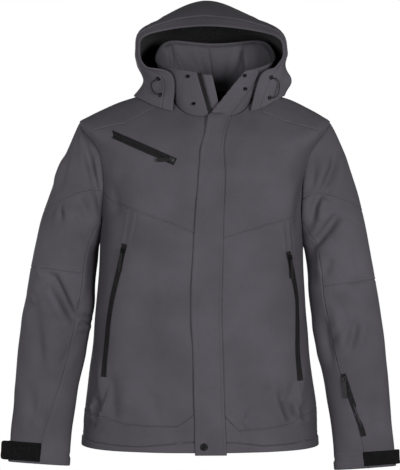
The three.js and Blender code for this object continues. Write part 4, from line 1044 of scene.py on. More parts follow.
def build_thread(add, link, shader):
    where = add("ShaderNodeTexCoord")
    twist = add("ShaderNodeTexWave", Scale=1400, Distortion=1.0)
    link(where.outputs["Object"], twist.inputs["Vector"])
    colour = shade(tuple(settings().cloth.colour), 0.9)
    tinted(add, link, shader, twist.outputs["Fac"], shade(colour, 0.7), shade(colour, 1.25), 0.2, 0.8)
    look(shader, {"Roughness": 0.6, "Sheen Weight": 0.3})


def build_hook_tape(add, link, shader):
    where = add("ShaderNodeTexCoord")
    pile = add("ShaderNodeTexVoronoi", Scale=700)
    link(where.outputs["Object"], pile.inputs["Vector"])
    fluff = noise(add, link, where, 240, 4, 0.6)
    tinted(add, link, shader, fluff, (0.0035, 0.0035, 0.004), (0.0095, 0.0095, 0.0105))
    raised(add, link, shader, [(pile.outputs["Distance"], 0.5, 0.0006), (fluff, 0.4, 0.001)])
    look(shader, {"Roughness": 0.9, "Specular IOR Level": 0.12, "Sheen Weight": 0.04})


FINISHES = {
    "shell": build_shell, "fleece": build_fleece, "facing": build_facing, "tape": build_tape,
    "metal": build_metal, "bright_metal": build_bright_metal, "pull": build_pull, "cord": build_cord,
    "thread": build_thread, "hook_tape": build_hook_tape,
}


def finish(name):
    return node_material("jacket_" + name, FINISHES[name])


# Repeats made by Geometry Nodes

def path_object(name, paths):
    """Open lines of points with the cloth's normal on each, for a tree to follow."""
    verts, ups, edges = [], [], []
    for path, up in paths:
        start = len(verts)
        verts += [tuple(p * MM) for p in path]
        ups += [tuple(n) for n in up]
        edges += [(start + i, start + i + 1) for i in range(len(path) - 1)]
    mesh = bpy.data.meshes.new(name)
    mesh.from_pydata(verts, edges, [])
    mesh.attributes.new("up", "FLOAT_VECTOR", "POINT").data.foreach_set("vector", np.array(ups).ravel())
    obj = bpy.data.objects.new(name, mesh)
    bpy.context.scene.collection.objects.link(obj)
    return obj


def follow_tree(name, bead, sizes, flip=False):
    """A tree that sets a bead at even steps along each line: sizes are its named inputs in metres."""
    tree = bpy.data.node_groups.new(name, "GeometryNodeTree")
    face = tree.interface
    face.new_socket("Geometry", in_out="INPUT", socket_type="NodeSocketGeometry")
    for label, value in sizes.items():
        socket = face.new_socket(label, in_out="INPUT", socket_type="NodeSocketFloat")
        socket.subtype, socket.default_value, socket.min_value = "DISTANCE", value, 0
    face.new_socket("Material", in_out="INPUT", socket_type="NodeSocketMaterial")
    face.new_socket("Geometry", in_out="OUTPUT", socket_type="NodeSocketGeometry")
    node, link = tree.nodes.new, tree.links.new
    start, end = node("NodeGroupInput"), node("NodeGroupOutput")
    curve = node("GeometryNodeMeshToCurve")
    link(start.outputs["Geometry"], curve.inputs[0])
    even = node("GeometryNodeResampleCurve")
    even.mode = "LENGTH"
    link(curve.outputs[0], even.inputs["Curve"])
    link(start.outputs["Pitch"], even.inputs["Length"])
    tangent = node("GeometryNodeInputTangent")
    up = node("GeometryNodeInputNamedAttribute")
    up.data_type = "FLOAT_VECTOR"
    up.inputs["Name"].default_value = "up"
    first = node("FunctionNodeAlignRotationToVector")
    first.axis = "X"
    link(tangent.outputs[0], first.inputs["Vector"])
    second = node("FunctionNodeAlignRotationToVector")
    second.axis, second.pivot_axis = "Z", "X"
    link(first.outputs[0], second.inputs["Rotation"])
    link(up.outputs["Attribute"], second.inputs["Vector"])
    turned = second.outputs[0]
    if flip:
        index = node("GeometryNodeInputIndex")
        odd = node("ShaderNodeMath")
        odd.operation = "MODULO"
        odd.inputs[1].default_value = 2
        link(index.outputs[0], odd.inputs[0])
        angle = node("ShaderNodeMath")
        angle.operation = "MULTIPLY"
        angle.inputs[1].default_value = math.pi
        link(odd.outputs[0], angle.inputs[0])
        about = node("FunctionNodeAxisAngleToRotation")
        about.inputs["Axis"].default_value = (0, 0, 1)
        link(angle.outputs[0], about.inputs["Angle"])
        rotate = node("FunctionNodeRotateRotation")
        rotate.rotation_space = "LOCAL"
        link(turned, rotate.inputs["Rotation"])
        link(about.outputs[0], rotate.inputs["Rotate By"])
        turned = rotate.outputs[0]
    place = node("GeometryNodeInstanceOnPoints")
    link(even.outputs[0], place.inputs["Points"])
    link(bead(tree, start), place.inputs["Instance"])
    link(turned, place.inputs["Rotation"])
    real = node("GeometryNodeRealizeInstances")
    link(place.outputs[0], real.inputs[0])
    paint = node("GeometryNodeSetMaterial")
    link(real.outputs[0], paint.inputs["Geometry"])
    link(start.outputs["Material"], paint.inputs["Material"])
    link(paint.outputs[0], end.inputs[0])
    return tree


def sized(tree, start, mesh_socket, x, y, z, offset=None):
    """Scales a primitive by the tree's named inputs."""
    size = tree.nodes.new("ShaderNodeCombineXYZ")
    for label, name in zip("XYZ", (x, y, z)):
        tree.links.new(start.outputs[name], size.inputs[label])
    shape = tree.nodes.new("GeometryNodeTransform")
    tree.links.new(mesh_socket, shape.inputs["Geometry"])
    tree.links.new(size.outputs[0], shape.inputs["Scale"])
    if offset:
        shift = tree.nodes.new("ShaderNodeCombineXYZ")
        tree.links.new(start.outputs[offset], shift.inputs["Y"])
        tree.links.new(shift.outputs[0], shape.inputs["Translation"])
    return shape.outputs[0]


def stitch_bead(tree, start):
    ball = tree.nodes.new("GeometryNodeMeshUVSphere")
    ball.inputs["Segments"].default_value = 6
    ball.inputs["Rings"].default_value = 4
    ball.inputs["Radius"].default_value = 0.5
    return sized(tree, start, ball.outputs["Mesh"], "Stitch", "Thread", "Thread")


def tooth_bead(tree, start):
    block = tree.nodes.new("GeometryNodeMeshCube")
    block.inputs["Size"].default_value = (1, 1, 1)
    return sized(tree, start, block.outputs["Mesh"], "Tooth", "Reach", "Height", "Aside")


def follow(name, paths, tree, values, material, slot):
    """Runs a tree over lines and keeps the result as one plain mesh on the garment."""
    obj = path_object(name, paths)
    obj.name = name + "_lines"
    modifier = obj.modifiers.new(name, "NODES")
    modifier.node_group = tree
    for item in tree.interface.items_tree:
        if item.item_type == "SOCKET" and item.in_out == "INPUT":
            if item.name in values:
                modifier[item.identifier] = values[item.name]
            elif item.name == "Material":
                modifier[item.identifier] = material
    graph = bpy.context.evaluated_depsgraph_get()
    mesh = bpy.data.meshes.new_from_object(obj.evaluated_get(graph))
    obj.modifiers.remove(modifier)
    bpy.data.objects.remove(obj)
    mesh.materials.clear()
    mesh.shade_smooth()
    return put(name, mesh, [material], slot)


# The operators

class BuildOperator(bpy.types.Operator):
    bl_options = {"REGISTER"}


class JACKET_OT_trunk(BuildOperator):
    """Cuts the fronts, chest pieces, hem pieces, back and yoke"""

    bl_idname = "jacket.trunk"
    bl_label = "Trunk panels"

    def execute(self, context):
        for hand, side in HANDS.items():
            for part, edges, stitched in (
                ("chest", "seam seam none top", ("far",)),
                ("front", "seam top none seam", ("high",)),
                ("hem", "hem top none seam", ("high",)),
            ):
                panel = Panel(trunk_at, mirrored(CUT[hand][part], side), edges, extra=welt_lines,
                              step=3.2, normals=trunk_normal)
                cloth(f"{part}_{hand}", panel, ["yoke"], stitched=stitched)
                if part == "hem":
                    STITCH_ROWS.append(panel.line("low", HEM_LINE))
        top = chain(
            (0.5, straight(armhole(YOKE_BACK_ARM), YOKE_CENTRE)),
            (1, straight(YOKE_CENTRE, flipped(armhole)(YOKE_BACK_ARM))),
        )
        back = trunk_patch(2, straight([1, 0], [3, 0]), top, BACK_SIDE, flipped(BACK_SIDE))
        panel = Panel(trunk_at, back, "hem seam seam seam", normals=trunk_normal)
        cloth("back", panel, ["yoke"])
        STITCH_ROWS.append(panel.line("low", HEM_LINE))
        half = chain(
            (4 / 17, arm_edge(YOKE_ARM, 0)),
            (8 / 17, arm_edge(1, YOKE_BACK_ARM)),
            (1, straight(armhole(YOKE_BACK_ARM), YOKE_CENTRE)),
        )

        def outer(u):
            u = np.asarray(u, float)
            near, far = half(np.clip(u * 2, 0, 1)), flipped(half)(np.clip(2 - u * 2, 0, 1))
            return np.where((u <= 0.5)[..., None], near, far)

        neck = chain(
            (0.14, neck_seam(YOKE_NECK[0], 1)),
            (0.86, neck_seam(1, 3)),
            (1, neck_seam(3, 4 - YOKE_NECK[0])),
        )

        def end(hand):
            return lambda u: CUT[hand]["yoke_seam"](1 - np.asarray(u, float))

        yoke = coons(outer, neck, end("left"), flipped(end("right")))
        panel = Panel(trunk_at, yoke, "top seam top top", normals=trunk_normal)
        cloth("yoke", panel, ["back"], stitched=("low", "near", "far"))
        return {"FINISHED"}


# Lines of a pocket's welt on the front, as x and z
WELTS = [
    [(-148, -234), (-160, -306)],
    [(-132, -240), (-146, -300)],
    [(170, -258), (177, -322)],
    [(184, -262), (190, -330)],
    [(-205, -585), (-226, -652)],
    [(203, -592), (219, -660)],
]


def welt_lines(p, u, v, reach):
    """Welt seams above and below the pocket zips: a groove with a swell beside it."""
    total = np.zeros(p.shape[:-1])
    before = smooth(-p[..., 1] / 30)
    for (x0, z0), (x1, z1) in WELTS:
        dx, dz = x1 - x0, z1 - z0
        long = math.hypot(dx, dz)
        along = ((p[..., 0] - x0) * dx + (p[..., 2] - z0) * dz) / long**2
        off = ((p[..., 0] - x0) * dz - (p[..., 2] - z0) * dx) / long
        ends = smooth(along * 12 + 0.5) * smooth((1 - along) * 12 + 0.5)
        groove, swell = np.exp(-((off / 2.0) ** 2)), np.exp(-(((off - 4.5) / 3) ** 2))
        total += (-1.3 * groove + 1.0 * swell) * ends * before
    return total


UNDER_TOP = 0.36
# How far round the sleeve its under seams lie, by the share along it
UNDER = track(
    [0, 0.5, 0.64, 0.745, 0.815, 0.885, 0.95, 1],
    [UNDER_TOP, 0.358, 0.35, 0.335, 0.31, 0.28, 0.26, 0.25],
)
HEAD_LOW = 0.285
HEAD_TIP = 0.006
ELBOW_SEAM = {"left": 0.48, "right": 0.44}


def head_seam(around):
    inside = np.clip(1 - (np.asarray(around, float) / CHEVRON_ARM) ** 2, 0, 1)
    return HEAD_TIP + (HEAD_LOW - HEAD_TIP) * inside**0.8


class JACKET_OT_sleeves(BuildOperator):
    """Cuts both sleeves: head, elbow piece, forearm and under sleeve"""

    bl_idname = "jacket.sleeves"
    bl_label = "Sleeves"

    def execute(self, context):
        for hand, side in HANDS.items():
            surface, elbow = sleeve_at(side), ELBOW_SEAM[hand]

            def make(spot, edges):
                return Panel(surface, spot, edges, creases="sleeve", wave=1.1, step=3.6,
                             normals=sleeve_normal(side))

            def head_low(u):
                mark = mix(-CHEVRON_ARM, CHEVRON_ARM, np.asarray(u, float))
                return np.stack([mark, 0 * mark], -1)

            def head_high(u):
                mark = mix(-CHEVRON_ARM, CHEVRON_ARM, np.asarray(u, float))
                return np.stack([mark, head_seam(mark)], -1)

            def tip(mark):
                return straight([mark, 0], [mark, HEAD_TIP])

            cut = coons(head_low, head_high, tip(-CHEVRON_ARM), tip(CHEVRON_ARM))
            head = make(cut, "seam top none none")
            cloth(f"sleeve_head_{hand}", head, ["yoke"], stitched=("high",))

            def side_edge(sign, start, end):
                def at(u):
                    along = mix(start, end, np.asarray(u, float))
                    return np.stack([sign * UNDER(along), along], -1)

                return at

            def ring(along):
                edge = float(UNDER(along))
                return straight([-edge, along], [edge, along])

            def top(u):
                mark = mix(-UNDER_TOP, UNDER_TOP, np.asarray(u, float))
                return np.stack([mark, np.where(np.abs(mark) < CHEVRON_ARM, head_seam(mark), 0)], -1)

            middle = coons(top, ring(elbow), side_edge(-1, 0, elbow), side_edge(1, 0, elbow))
            cloth(f"sleeve_elbow_{hand}", make(middle, "seam top seam seam"), [f"sleeve_head_{hand}"],
                  stitched=("high",))
            lower = coons(ring(elbow), ring(1), side_edge(-1, elbow, 1), side_edge(1, elbow, 1))
            forearm = make(lower, "seam hem seam top")
            cloth(f"sleeve_forearm_{hand}", forearm, [f"sleeve_elbow_{hand}"], stitched=("far",))
            STITCH_ROWS.append(forearm.line("high", HEM_LINE))

            def under(a, b):
                edge = UNDER(b)
                return np.stack([mix(edge, 1 - edge, np.asarray(a, float)), np.maximum(b, HEAD_TIP)], -1)

            panel = make(under, "seam hem seam seam")
            cloth(f"under_sleeve_{hand}", panel, [f"sleeve_forearm_{hand}"])
            STITCH_ROWS.append(panel.line("high", HEM_LINE))
        return {"FINISHED"}


COLLAR_SPLIT = 0.62
# Soft folds of the collar's facing: turn, share of its height, lean, spread and height in millimetres
FACING_FOLDS = [
    (1.50, 0.55, 0.25, 0.06, 5.0), (1.64, 0.62, -0.15, 0.05, -4.4), (2.40, 0.60, 0.12, 0.05, -4.4),
    (2.60, 0.62, -0.28, 0.06, 5.4), (2.76, 0.72, -0.3, 0.045, -5.0), (2.2, 0.4, 0.1, 0.06, 3.0),
    (1.28, 0.7, 0.3, 0.06, -4.6), (1.82, 0.35, -0.1, 0.05, -2.4), (2.08, 0.45, 0.08, 0.045, -2.2),
]
COLLAR_FOOT = 0.003
COLLAR_TOP = 0.985
COLLAR_EDGE = 0.05
FACING_FOOT = -0.06
FACING_SEAM = 1.97  # the turn of the seam down the facing's middle
BINDING = {"middle": -CLOTH - 0.2, "half": 3.3, "wide": 7}


class JACKET_OT_collar(BuildOperator):
    """Cuts the stand collar, its facing and the binding along its rim"""

    bl_idname = "jacket.collar"
    bl_label = "Collar"

    def execute(self, context):
        def spot(start, end, foot=COLLAR_FOOT):
            return lambda a, b: np.stack([mix(start, end, a), mix(foot, COLLAR_TOP, b)], -1)

        runs = {
            "collar_front_left": (COLLAR_EDGE, COLLAR_SPLIT, "plain top free plain"),
            "collar_back": (COLLAR_SPLIT, 4 - COLLAR_SPLIT, "plain top plain plain"),
            "collar_front_right": (4 - COLLAR_SPLIT, 4 - COLLAR_EDGE, "plain top plain free"),
        }
        for name, (start, end, edges) in runs.items():
            panel = Panel(collar_at, spot(start, end), edges, creases=None, wave=0.4, step=5)
            cloth(name, panel, ["yoke"], stitched=("high",))

        def facing_folds(u, v):
            off = u - FACING_SEAM
            total = -2.6 * np.exp(-((off / 0.018) ** 2)) + 1.4 * np.exp(-((off / 0.09) ** 2))
            for turn, rise, lean, spread, height in FACING_FOLDS:
                off = u - turn - lean * (v - rise)
                total = total + height * np.exp(-((off / spread) ** 2) - ((v - rise) / 0.36) ** 2)
            return np.maximum(0, 6 + 1.6 * total) * smooth(v / 0.25) * smooth((0.97 - v) / 0.1)

        panel = Panel(collar_at, spot(COLLAR_EDGE, 4 - COLLAR_EDGE, FACING_FOOT), "none plain free free",
                      lift=-CLOTH - 0.4, creases=None, wave=0.6, step=3.4)
        panel.inner = panel.outer - panel.normal * (CLOTH + facing_folds(*panel.where))[..., None]
        cloth("collar_facing", panel, ["collar_back"], inside="facing")
        edge = [(turn, COLLAR_TOP) for turn in np.linspace(COLLAR_EDGE, 4 - COLLAR_EDGE, 220)]
        rim = binding(collar_at, edge, **BINDING)
        put("collar_binding", rim, [finish("shell")], "shell")
        return {"FINISHED"}


def binding(surface, spots, middle, half, wide, around=14):
    """A folded strip over an edge: a soft oval tube along the spots, half thick and wide deep."""
    spots = np.array(spots)
    u, v = spots[:, 0], spots[:, 1]
    base = surface(u, v)
    normal = normal_of(surface, u, v)
    run = unit(np.gradient(base, axis=0))
    up = unit(np.cross(normal, run))
    up = np.where(up[:, 2:] < 0, -up, up)
    angle = np.linspace(0, 2 * math.pi, around, endpoint=False)
    ring = (
        base[:, None]
        + normal[:, None] * (middle + half * np.cos(angle))[None, :, None]
        + up[:, None] * ((wide / 2) * np.sin(angle) - wide * 0.18)[None, :, None]
    )
    return tube_mesh("binding", ring)


def tube_mesh(name, rings):
    """A closed tube from rings of points, in millimetres."""
    n, m = rings.shape[:2]
    faces = []
    for i in range(n - 1):
        for j in range(m):
            k = (j + 1) % m
            faces.append((i * m + j, (i + 1) * m + j, (i + 1) * m + k, i * m + k))
    faces.append(tuple(range(m)))
    faces.append(tuple(reversed(range((n - 1) * m, n * m))))
    mesh = bpy.data.meshes.new(name)
    mesh.from_pydata((rings.reshape(-1, 3) * MM).tolist(), [], faces)
    mesh.shade_smooth()
    mesh.set_sharp_from_angle(angle=math.radians(60))
    if signed_volume(mesh) < 0:
        mesh.flip_normals()
    return mesh


def signed_volume(mesh):
    mesh.calc_loop_triangles()
    v = np.empty(len(mesh.vertices) * 3)
    mesh.vertices.foreach_get("co", v)
    v = v.reshape(-1, 3)
    t = np.empty(len(mesh.loop_triangles) * 3, np.int32)
    mesh.loop_triangles.foreach_get("vertices", t)
    t = t.reshape(-1, 3)
    return float(np.einsum("ij,ij->", v[t[:, 0]], np.cross(v[t[:, 1]], v[t[:, 2]])))


CROWN = 0.36  # half the crown's width at the brim, as a share of the hood's
CROWN_BACK = 0.8  # how much of that is left at its back end
BRIM_MIDDLE = 0.12
BRIM_SIDE = 0.045


def brim_at(across):
    return mix(BRIM_MIDDLE, BRIM_SIDE, smooth(np.abs(across) / 0.5))


class JACKET_OT_hood(BuildOperator):
    """Cuts the hood's brim, crown and sides, with dark fleece inside"""

    bl_idname = "jacket.hood"
    bl_label = "Hood"

    def execute(self, context):
        def brim(a, b):
            across = mix(-1, 1, np.asarray(a, float))
            return np.stack([across, brim_at(across) * b], -1)

        panel = Panel(hood_at, brim, "free seam free free", creases=None, wave=0.5, step=5)
        cloth("hood_brim", panel, ["collar_back"])

        def crown(a, b):
            across = mix(-CROWN, CROWN, np.asarray(a, float))
            return np.stack([across * mix(1, CROWN_BACK, b), mix(brim_at(across), 1, b)], -1)

        panel = Panel(hood_at, crown, "top plain top top", creases=None, wave=0.9)
        cloth("hood_crown", panel, ["hood_brim"], stitched=("low", "near", "far"))
        for hand, side in HANDS.items():

            def spot(a, b):
                across = mix(CROWN, 1, np.asarray(a, float))
                narrow = mix(1, CROWN_BACK, np.asarray(b, float))
                return np.stack([side * mix(CROWN * narrow, 1, a), mix(brim_at(across), 1, b)], -1)

            panel = Panel(hood_at, spot, "top plain seam free", creases=None, wave=1.1)
            cloth(f"hood_side_{hand}", panel, ["yoke"], stitched=("low",))
        return {"FINISHED"}


# The storm flap's free and sewn edges, in millimetres from the centre front
FLAP = Tracks("rise free sewn", [
    [0, -9, 47], [0.12, -11, 42], [0.28, -14, 39], [0.38, -18.5, 37], [0.5, -15, 39], [0.72, -11, 38],
    [0.9, -8, 34], [1, -8, 38], [1.4, -8, 40], [1.75, -8, 38], [2, -7, 20],
])
FLAP_LOW = -0.006
FLAP_STITCH = 9.5  # the row of stitches beside its free edge
SLIDER_RISE = 0.978  # where the flap swells over the main zip's slider
CLOSING_LOW = 0.01
CLOSING_TOP = 1.985
TAPE_TOP = 1.975
TAPE_THICK = 1.4
GUARD_REACH = (-24, 20)
GUARD_DEPTH = (-5.9, -7.2)  # in the trunk and in the collar
GUARD_THICK = 1.6


class JACKET_OT_front_closing(BuildOperator):
    """Cuts the storm flap, the zip guard and the zip's two tapes with their teeth"""

    bl_idname = "jacket.front_closing"
    bl_label = "Storm flap and main zip"

    def execute(self, context):
        def band(start, end, low, high):
            def spot(a, b):
                rise = mix(low, high, np.asarray(b, float))
                return np.stack([edge_turn(rise, mix(start(rise), end(rise), a)), rise], -1)

            return spot

        def flap_form(p, u, v, reach):
            out = u * QUARTER * TRUNK.half(np.minimum(1, v))
            slider = 6 * np.exp(-(((v - SLIDER_RISE) / 0.045) ** 2)) * smooth((30 - out) / 14)
            free, sewn = reach[2], reach[3]
            roll = 0.5 * np.exp(-(((free - 5) / 4) ** 2))
            roll = roll - 0.4 * np.exp(-(((free - FLAP_STITCH) / 0.9) ** 2))
            ripple = 0.9 * np.sin(v * 46 + 1.3 * np.sin(v * 17)) * np.exp(-free / 16)
            stitch = -0.8 * np.exp(-(((sewn - STITCH_LINE) / 0.9) ** 2))
            return slider + roll + ripple + stitch

        panel = Panel(body_at, band(FLAP.free, FLAP.sewn, FLAP_LOW, CLOSING_TOP), "free free free free",
                      lift=FLAP_TOP, thick=FLAP_THICK, gap=0, step=5, wave=0.5, creases=None, extra=flap_form)
        cloth("storm_flap", panel, ["front_left"], inside="shell", stitched=("far",))
        STITCH_ROWS.append(panel.line("near", FLAP_STITCH))

        def guard(a, b):
            rise = mix(CLOSING_LOW, CLOSING_TOP, np.asarray(b, float))
            return np.stack([edge_turn(rise, mix(*GUARD_REACH, np.asarray(a, float))), rise], -1)

        def drop(p, u, v, reach):
            return mix(*GUARD_DEPTH, smooth((v - 0.9) / 0.2))

        panel = Panel(right_body, guard, "free free free free", lift=0, thick=GUARD_THICK, gap=0, step=6,
                      wave=0, creases=None, extra=drop)
        panel.inner = panel.outer - panel.normal * GUARD_THICK
        cloth("zip_guard", panel, ["zip_tape_left"], inside="shell")
        teeth = []
        for hand, side in HANDS.items():
            surface = body_at if side > 0 else right_body

            def tape(a, b):
                rise = mix(CLOSING_LOW, TAPE_TOP, np.asarray(b, float))
                out = side * mix(0.2, ZIP_HALF - 0.4, np.asarray(a, float))
                return np.stack([edge_turn(rise, out), rise], -1)

            panel = Panel(surface, tape, "none none none none", lift=-0.3, thick=TAPE_THICK, gap=0, step=4,
                          wave=0, creases=None)
            mesh = wall_mesh(f"zip_tape_{hand}_cloth", panel.outer, panel.inner, second=False)
            put(f"zip_tape_{hand}_cloth", mesh, [finish("tape")], "tape", f"zip_tape_{hand}")
            teeth.append((panel.outer[0], panel.normal[0]))
        zips = settings().zips
        sizes = {"Pitch": 0.0026, "Tooth": 0.0013, "Reach": 0.003, "Height": 0.0016, "Aside": 0.0}
        tree = follow_tree("Zip chain", tooth_bead, sizes)
        values = {"Pitch": zips.main_pitch, "Tooth": zips.main_pitch * 0.5, "Reach": 0.003, "Height": 0.0018}
        follow("main_zip_teeth", teeth, tree, values, finish("pull"), "pull")
        return {"FINISHED"}


# Zips of the trunk: side, places as x and z, half width of the tape
POCKET_ZIPS = {
    "chest": (-1, [[-184, -79.5], [-160, -90.5], [-139, -100], [-118, -109.5], [-97, -119], [-76, -128.5],
                   [-62, -135], [-55, -138]], 8.0),
    "pocket_right": (-1, [[-159, -306], [-162, -320], [-171, -359.6], [-179, -391], [-186, -421.5],
                          [-191, -452], [-195, -483.8], [-201, -546.7], [-203, -582]], 6.5),
    "pocket_left": (1, [[177, -322], [180, -334], [188.5, -370.6], [193, -396], [196.5, -422], [198, -473],
                        [198, -525], [200, -560], [202, -590]], 6.5),
}
# The sleeve zip: its places as shares along the sleeve, how far it lies from the seam, half its width
SLEEVE_ZIP = [0.735, 0.75, 0.79, 0.82, 0.85, 0.88, 0.912]
SLEEVE_ZIP_IN = 0.018
SLEEVE_ZIP_HALF = 5.5
ZIP_TOP = 1.7
ZIP_FOOT = 0.5
CHEST_SLANT = 9  # how far the chest tape's first end is cut on the slant
# A tape's section: shares of its half width, and how high each lies
TAPE_SHARES = np.array([-1, -0.97, -0.9, -0.7, -0.34, -0.3, -0.16, 0, 0.16, 0.3, 0.34, 0.7, 0.9, 0.97, 1])
TAPE_RISES = np.array([
    -0.6, -0.15, 0, 0.05, 0.15, 0.1, -0.55, -0.6, -0.55, 0.1, 0.15, 0.05, 0, -0.15, -0.6,
])


class JACKET_OT_pocket_zips(BuildOperator):
    """Sews the chest, pocket and sleeve zips: tape, coil and turned edges"""

    bl_idname = "jacket.pocket_zips"
    bl_label = "Pocket zips"

    def execute(self, context):
        zips = settings().zips
        chains = []
        for name, (side, row, half) in POCKET_ZIPS.items():
            spots = [on_front(side, x, z) for x, z in row]
            spots = [[turn if side > 0 else 4 - turn, rise] for turn, rise in spots]
            chains.append(self.sew(name, trunk_at, spots, half, CHEST_SLANT if name == "chest" else 0))
        spots = [[float(UNDER(at)) - SLEEVE_ZIP_IN, at] for at in SLEEVE_ZIP]
        chains.append(self.sew("sleeve", sleeve_at(1), spots, SLEEVE_ZIP_HALF, 0))
        sizes = {"Pitch": 0.0015, "Tooth": 0.0009, "Reach": 0.0024, "Height": 0.0012, "Aside": 0.0006}
        tree = follow_tree("Zip coil", tooth_bead, sizes, flip=True)
        values = {"Pitch": zips.pocket_pitch, "Tooth": zips.pocket_pitch * 0.62, "Reach": 0.0022,
                  "Height": 0.0012, "Aside": 0.0005}
        follow("pocket_zip_teeth", chains, tree, values, finish("pull"), "pull")
        return {"FINISHED"}

    @staticmethod
    def sew(name, surface, spots, half, slant):
        """A tape as a wall with a lipped middle, and its coil's line."""
        spots = np.array(spots)
        ends = np.array([surface(u, v) for u, v in spots])
        share = running(ends[None], 1)[0]
        count = max(8, int(share[-1] / 3))
        at = np.linspace(0, share[-1], count)
        u, v = (np.interp(at, share, spots[:, k]) for k in (0, 1))
        base, normal = surface(u, v), normal_of(surface, u, v)
        way = unit(np.gradient(base, axis=0))
        aside = unit(np.cross(way, normal))
        base_line = base[None] + aside[None] * (TAPE_SHARES * half)[:, None, None]
        shift = np.where(np.arange(count) == 0, slant, 0)[None, :, None] * TAPE_SHARES[:, None, None]
        base_line = base_line + way[None] * shift
        ends_in = np.minimum(at, share[-1] - at)
        cap = -0.5 * np.exp(-((ends_in / 0.8) ** 2))
        outer = base_line + normal[None] * (ZIP_TOP + TAPE_RISES[:, None] + cap[None])[..., None]
        inner = base_line + normal[None] * ZIP_FOOT
        mesh = wall_mesh(f"zip_{name}_tape", outer, inner, second=False)
        put(f"zip_{name}_tape", mesh, [finish("tape")], "tape", f"zip_{name}")
        return base[1:-1] + normal[1:-1] * (ZIP_TOP - 0.45), normal[1:-1]


# Cuff straps: both edges as shares along the sleeve, and how far the strap stands off it
CUFF_TABS = {"right": (0.942, 0.994, 16), "left": (0.955, 0.994, 8.5)}
STRAP_THICK = 1.8
# The places round the sleeve that a strap runs through, closer together where it bends
CUFF_MARKS = [
    0.262, 0.21, 0.16, 0.12, 0.09, 0.065, 0.045, 0.025, 0.005, -0.015, -0.035, -0.06, -0.09, -0.13, -0.17,
]


class JACKET_OT_cuff_tabs(BuildOperator):
    """Cuts the strap on each cuff, which stands off the arm's outer edge"""

    bl_idname = "jacket.cuff_tabs"
    bl_label = "Cuff straps"

    def execute(self, context):
        for hand, side in HANDS.items():
            surface, (low, high, stand) = sleeve_at(side), CUFF_TABS[hand]

            def spot(a, b):
                around = np.interp(np.asarray(a, float), np.linspace(0, 1, len(CUFF_MARKS)), CUFF_MARKS)
                pinch = 0.013 * np.exp(-(((around + 0.012) / 0.02) ** 2)) if hand == "right" else 0
                return np.stack(np.broadcast_arrays(around, mix(low + pinch, high - pinch, b)), -1)

            def off(p, u, v, reach):
                return stand * np.exp(-((u / 0.06) ** 2))

            panel = Panel(surface, spot, "free free free free", outward=side, lift=2.4, thick=STRAP_THICK,
                          gap=0, step=4, wave=0.3, creases=None, extra=off)
            panel.inner = panel.outer - panel.normal * STRAP_THICK
            mesh = wall_mesh(f"cuff_tab_{hand}_strap", panel.outer, panel.inner, second=False)
            put(f"cuff_tab_{hand}_strap", mesh, [finish("hook_tape")], "tape", f"cuff_tab_{hand}")
        return {"FINISHED"}


def spot_near(surface, x, z, guess):
    """Where a surface passes x and z, from a first guess."""
    u, v = guess
    for _ in range(12):
        step = 1e-3
        at = surface(u, v)
        du, dv = (surface(u + step, v) - at) / step, (surface(u, v + step) - at) / step
        det = du[0] * dv[2] - dv[0] * du[2]
        ex, ez = x - at[0], z - at[2]
        u, v = u + (ex * dv[2] - dv[0] * ez) / det, v + (du[0] * ez - ex * du[2]) / det
    return u, v


def seat(surface, spot, off):
    """A frame on a surface, its Z away from the cloth, in millimetres."""
    up = normal_of(surface, *spot)
    along = unit(np.array([0.0, 0.0, 1.0]) - up * up[2])
    at = surface(*spot) + up * off
    frame_at = np.eye(4)
    frame_at[:3, 0], frame_at[:3, 1], frame_at[:3, 2], frame_at[:3, 3] = along, np.cross(up, along), up, at
    return frame_at


def lathe(name, profile, seat_at, count=40):
    """A turned piece from radius and height pairs, closed where the profile is."""
    profile = np.array(profile, float)
    angle = np.linspace(0, 2 * math.pi, count, endpoint=False)
    rings = points(
        profile[:, :1] * np.cos(angle), profile[:, :1] * np.sin(angle), np.repeat(profile[:, 1:], count, 1)
    )
    flat = rings.reshape(-1, 3) @ seat_at[:3, :3].T + seat_at[:3, 3]
    faces = []
    for i in range(len(profile) - 1):
        for j in range(count):
            k = (j + 1) % count
            faces.append((i * count + j, i * count + k, (i + 1) * count + k, (i + 1) * count + j))
    mesh = bpy.data.meshes.new(name)
    mesh.from_pydata((flat * MM).tolist(), [], faces)
    weld_faces(mesh)
    return mesh


def weld_faces(mesh):
    """Welds doubled points and turns every face outwards."""
    work = bmesh.new()
    work.from_mesh(mesh)
    bmesh.ops.remove_doubles(work, verts=work.verts, dist=1e-6)
    bmesh.ops.recalc_face_normals(work, faces=work.faces)
    work.to_mesh(mesh)
    work.free()
    mesh.shade_smooth()
    mesh.set_sharp_from_angle(angle=math.radians(38))


# Press studs: x and z, a first guess of turn and rise, how high they sit, radius and height
STUDS = {
    "collar_upper": (-29, 41, 3.7, 1.8, 1.7, 4.2, 2),
    "collar_lower": (-17, -17, 3.7, 1.3, 2.2, 4.2, 2),
    "flap_upper": (87, 42, 0.02, 1.85, FLAP_TOP + 1.1, 4.2, 2),
    "flap_lower": (88, 13, 0.1, 1.55, FLAP_TOP + 2, 4.2, 2),
    "hem": (4, -722, 0.04, 0.02, FLAP_TOP, 7.7, 3),
}
# Eyelets: x and z, a first guess of across and back, how high they sit
EYELETS = {
    "left_upper": (144, 41, 0.8, 0.05, 0.2),
    "left_lower": (141, 0, 0.9, 0.06, 0.2),
    "right_upper": (-91, 40, -0.8, 0.05, 1.4),
    "right_lower": (-87, 5, -0.9, 0.05, 0.4),
}
CORD_OUT = {"left": 20, "right": 22}  # how far each loop of cord stands out from its eyelets
CORD_RADIUS = 1.25
# An eyelet's section, as radius and height
EYELET_RING = [
    (2.3, 0.3), (4.5, 0.3), (4.6, 0.5), (4.4, 0.9), (3.8, 1.25), (3.2, 1.3), (2.6, 1.15), (2.3, 0.8),
    (2.3, 0.3),
]


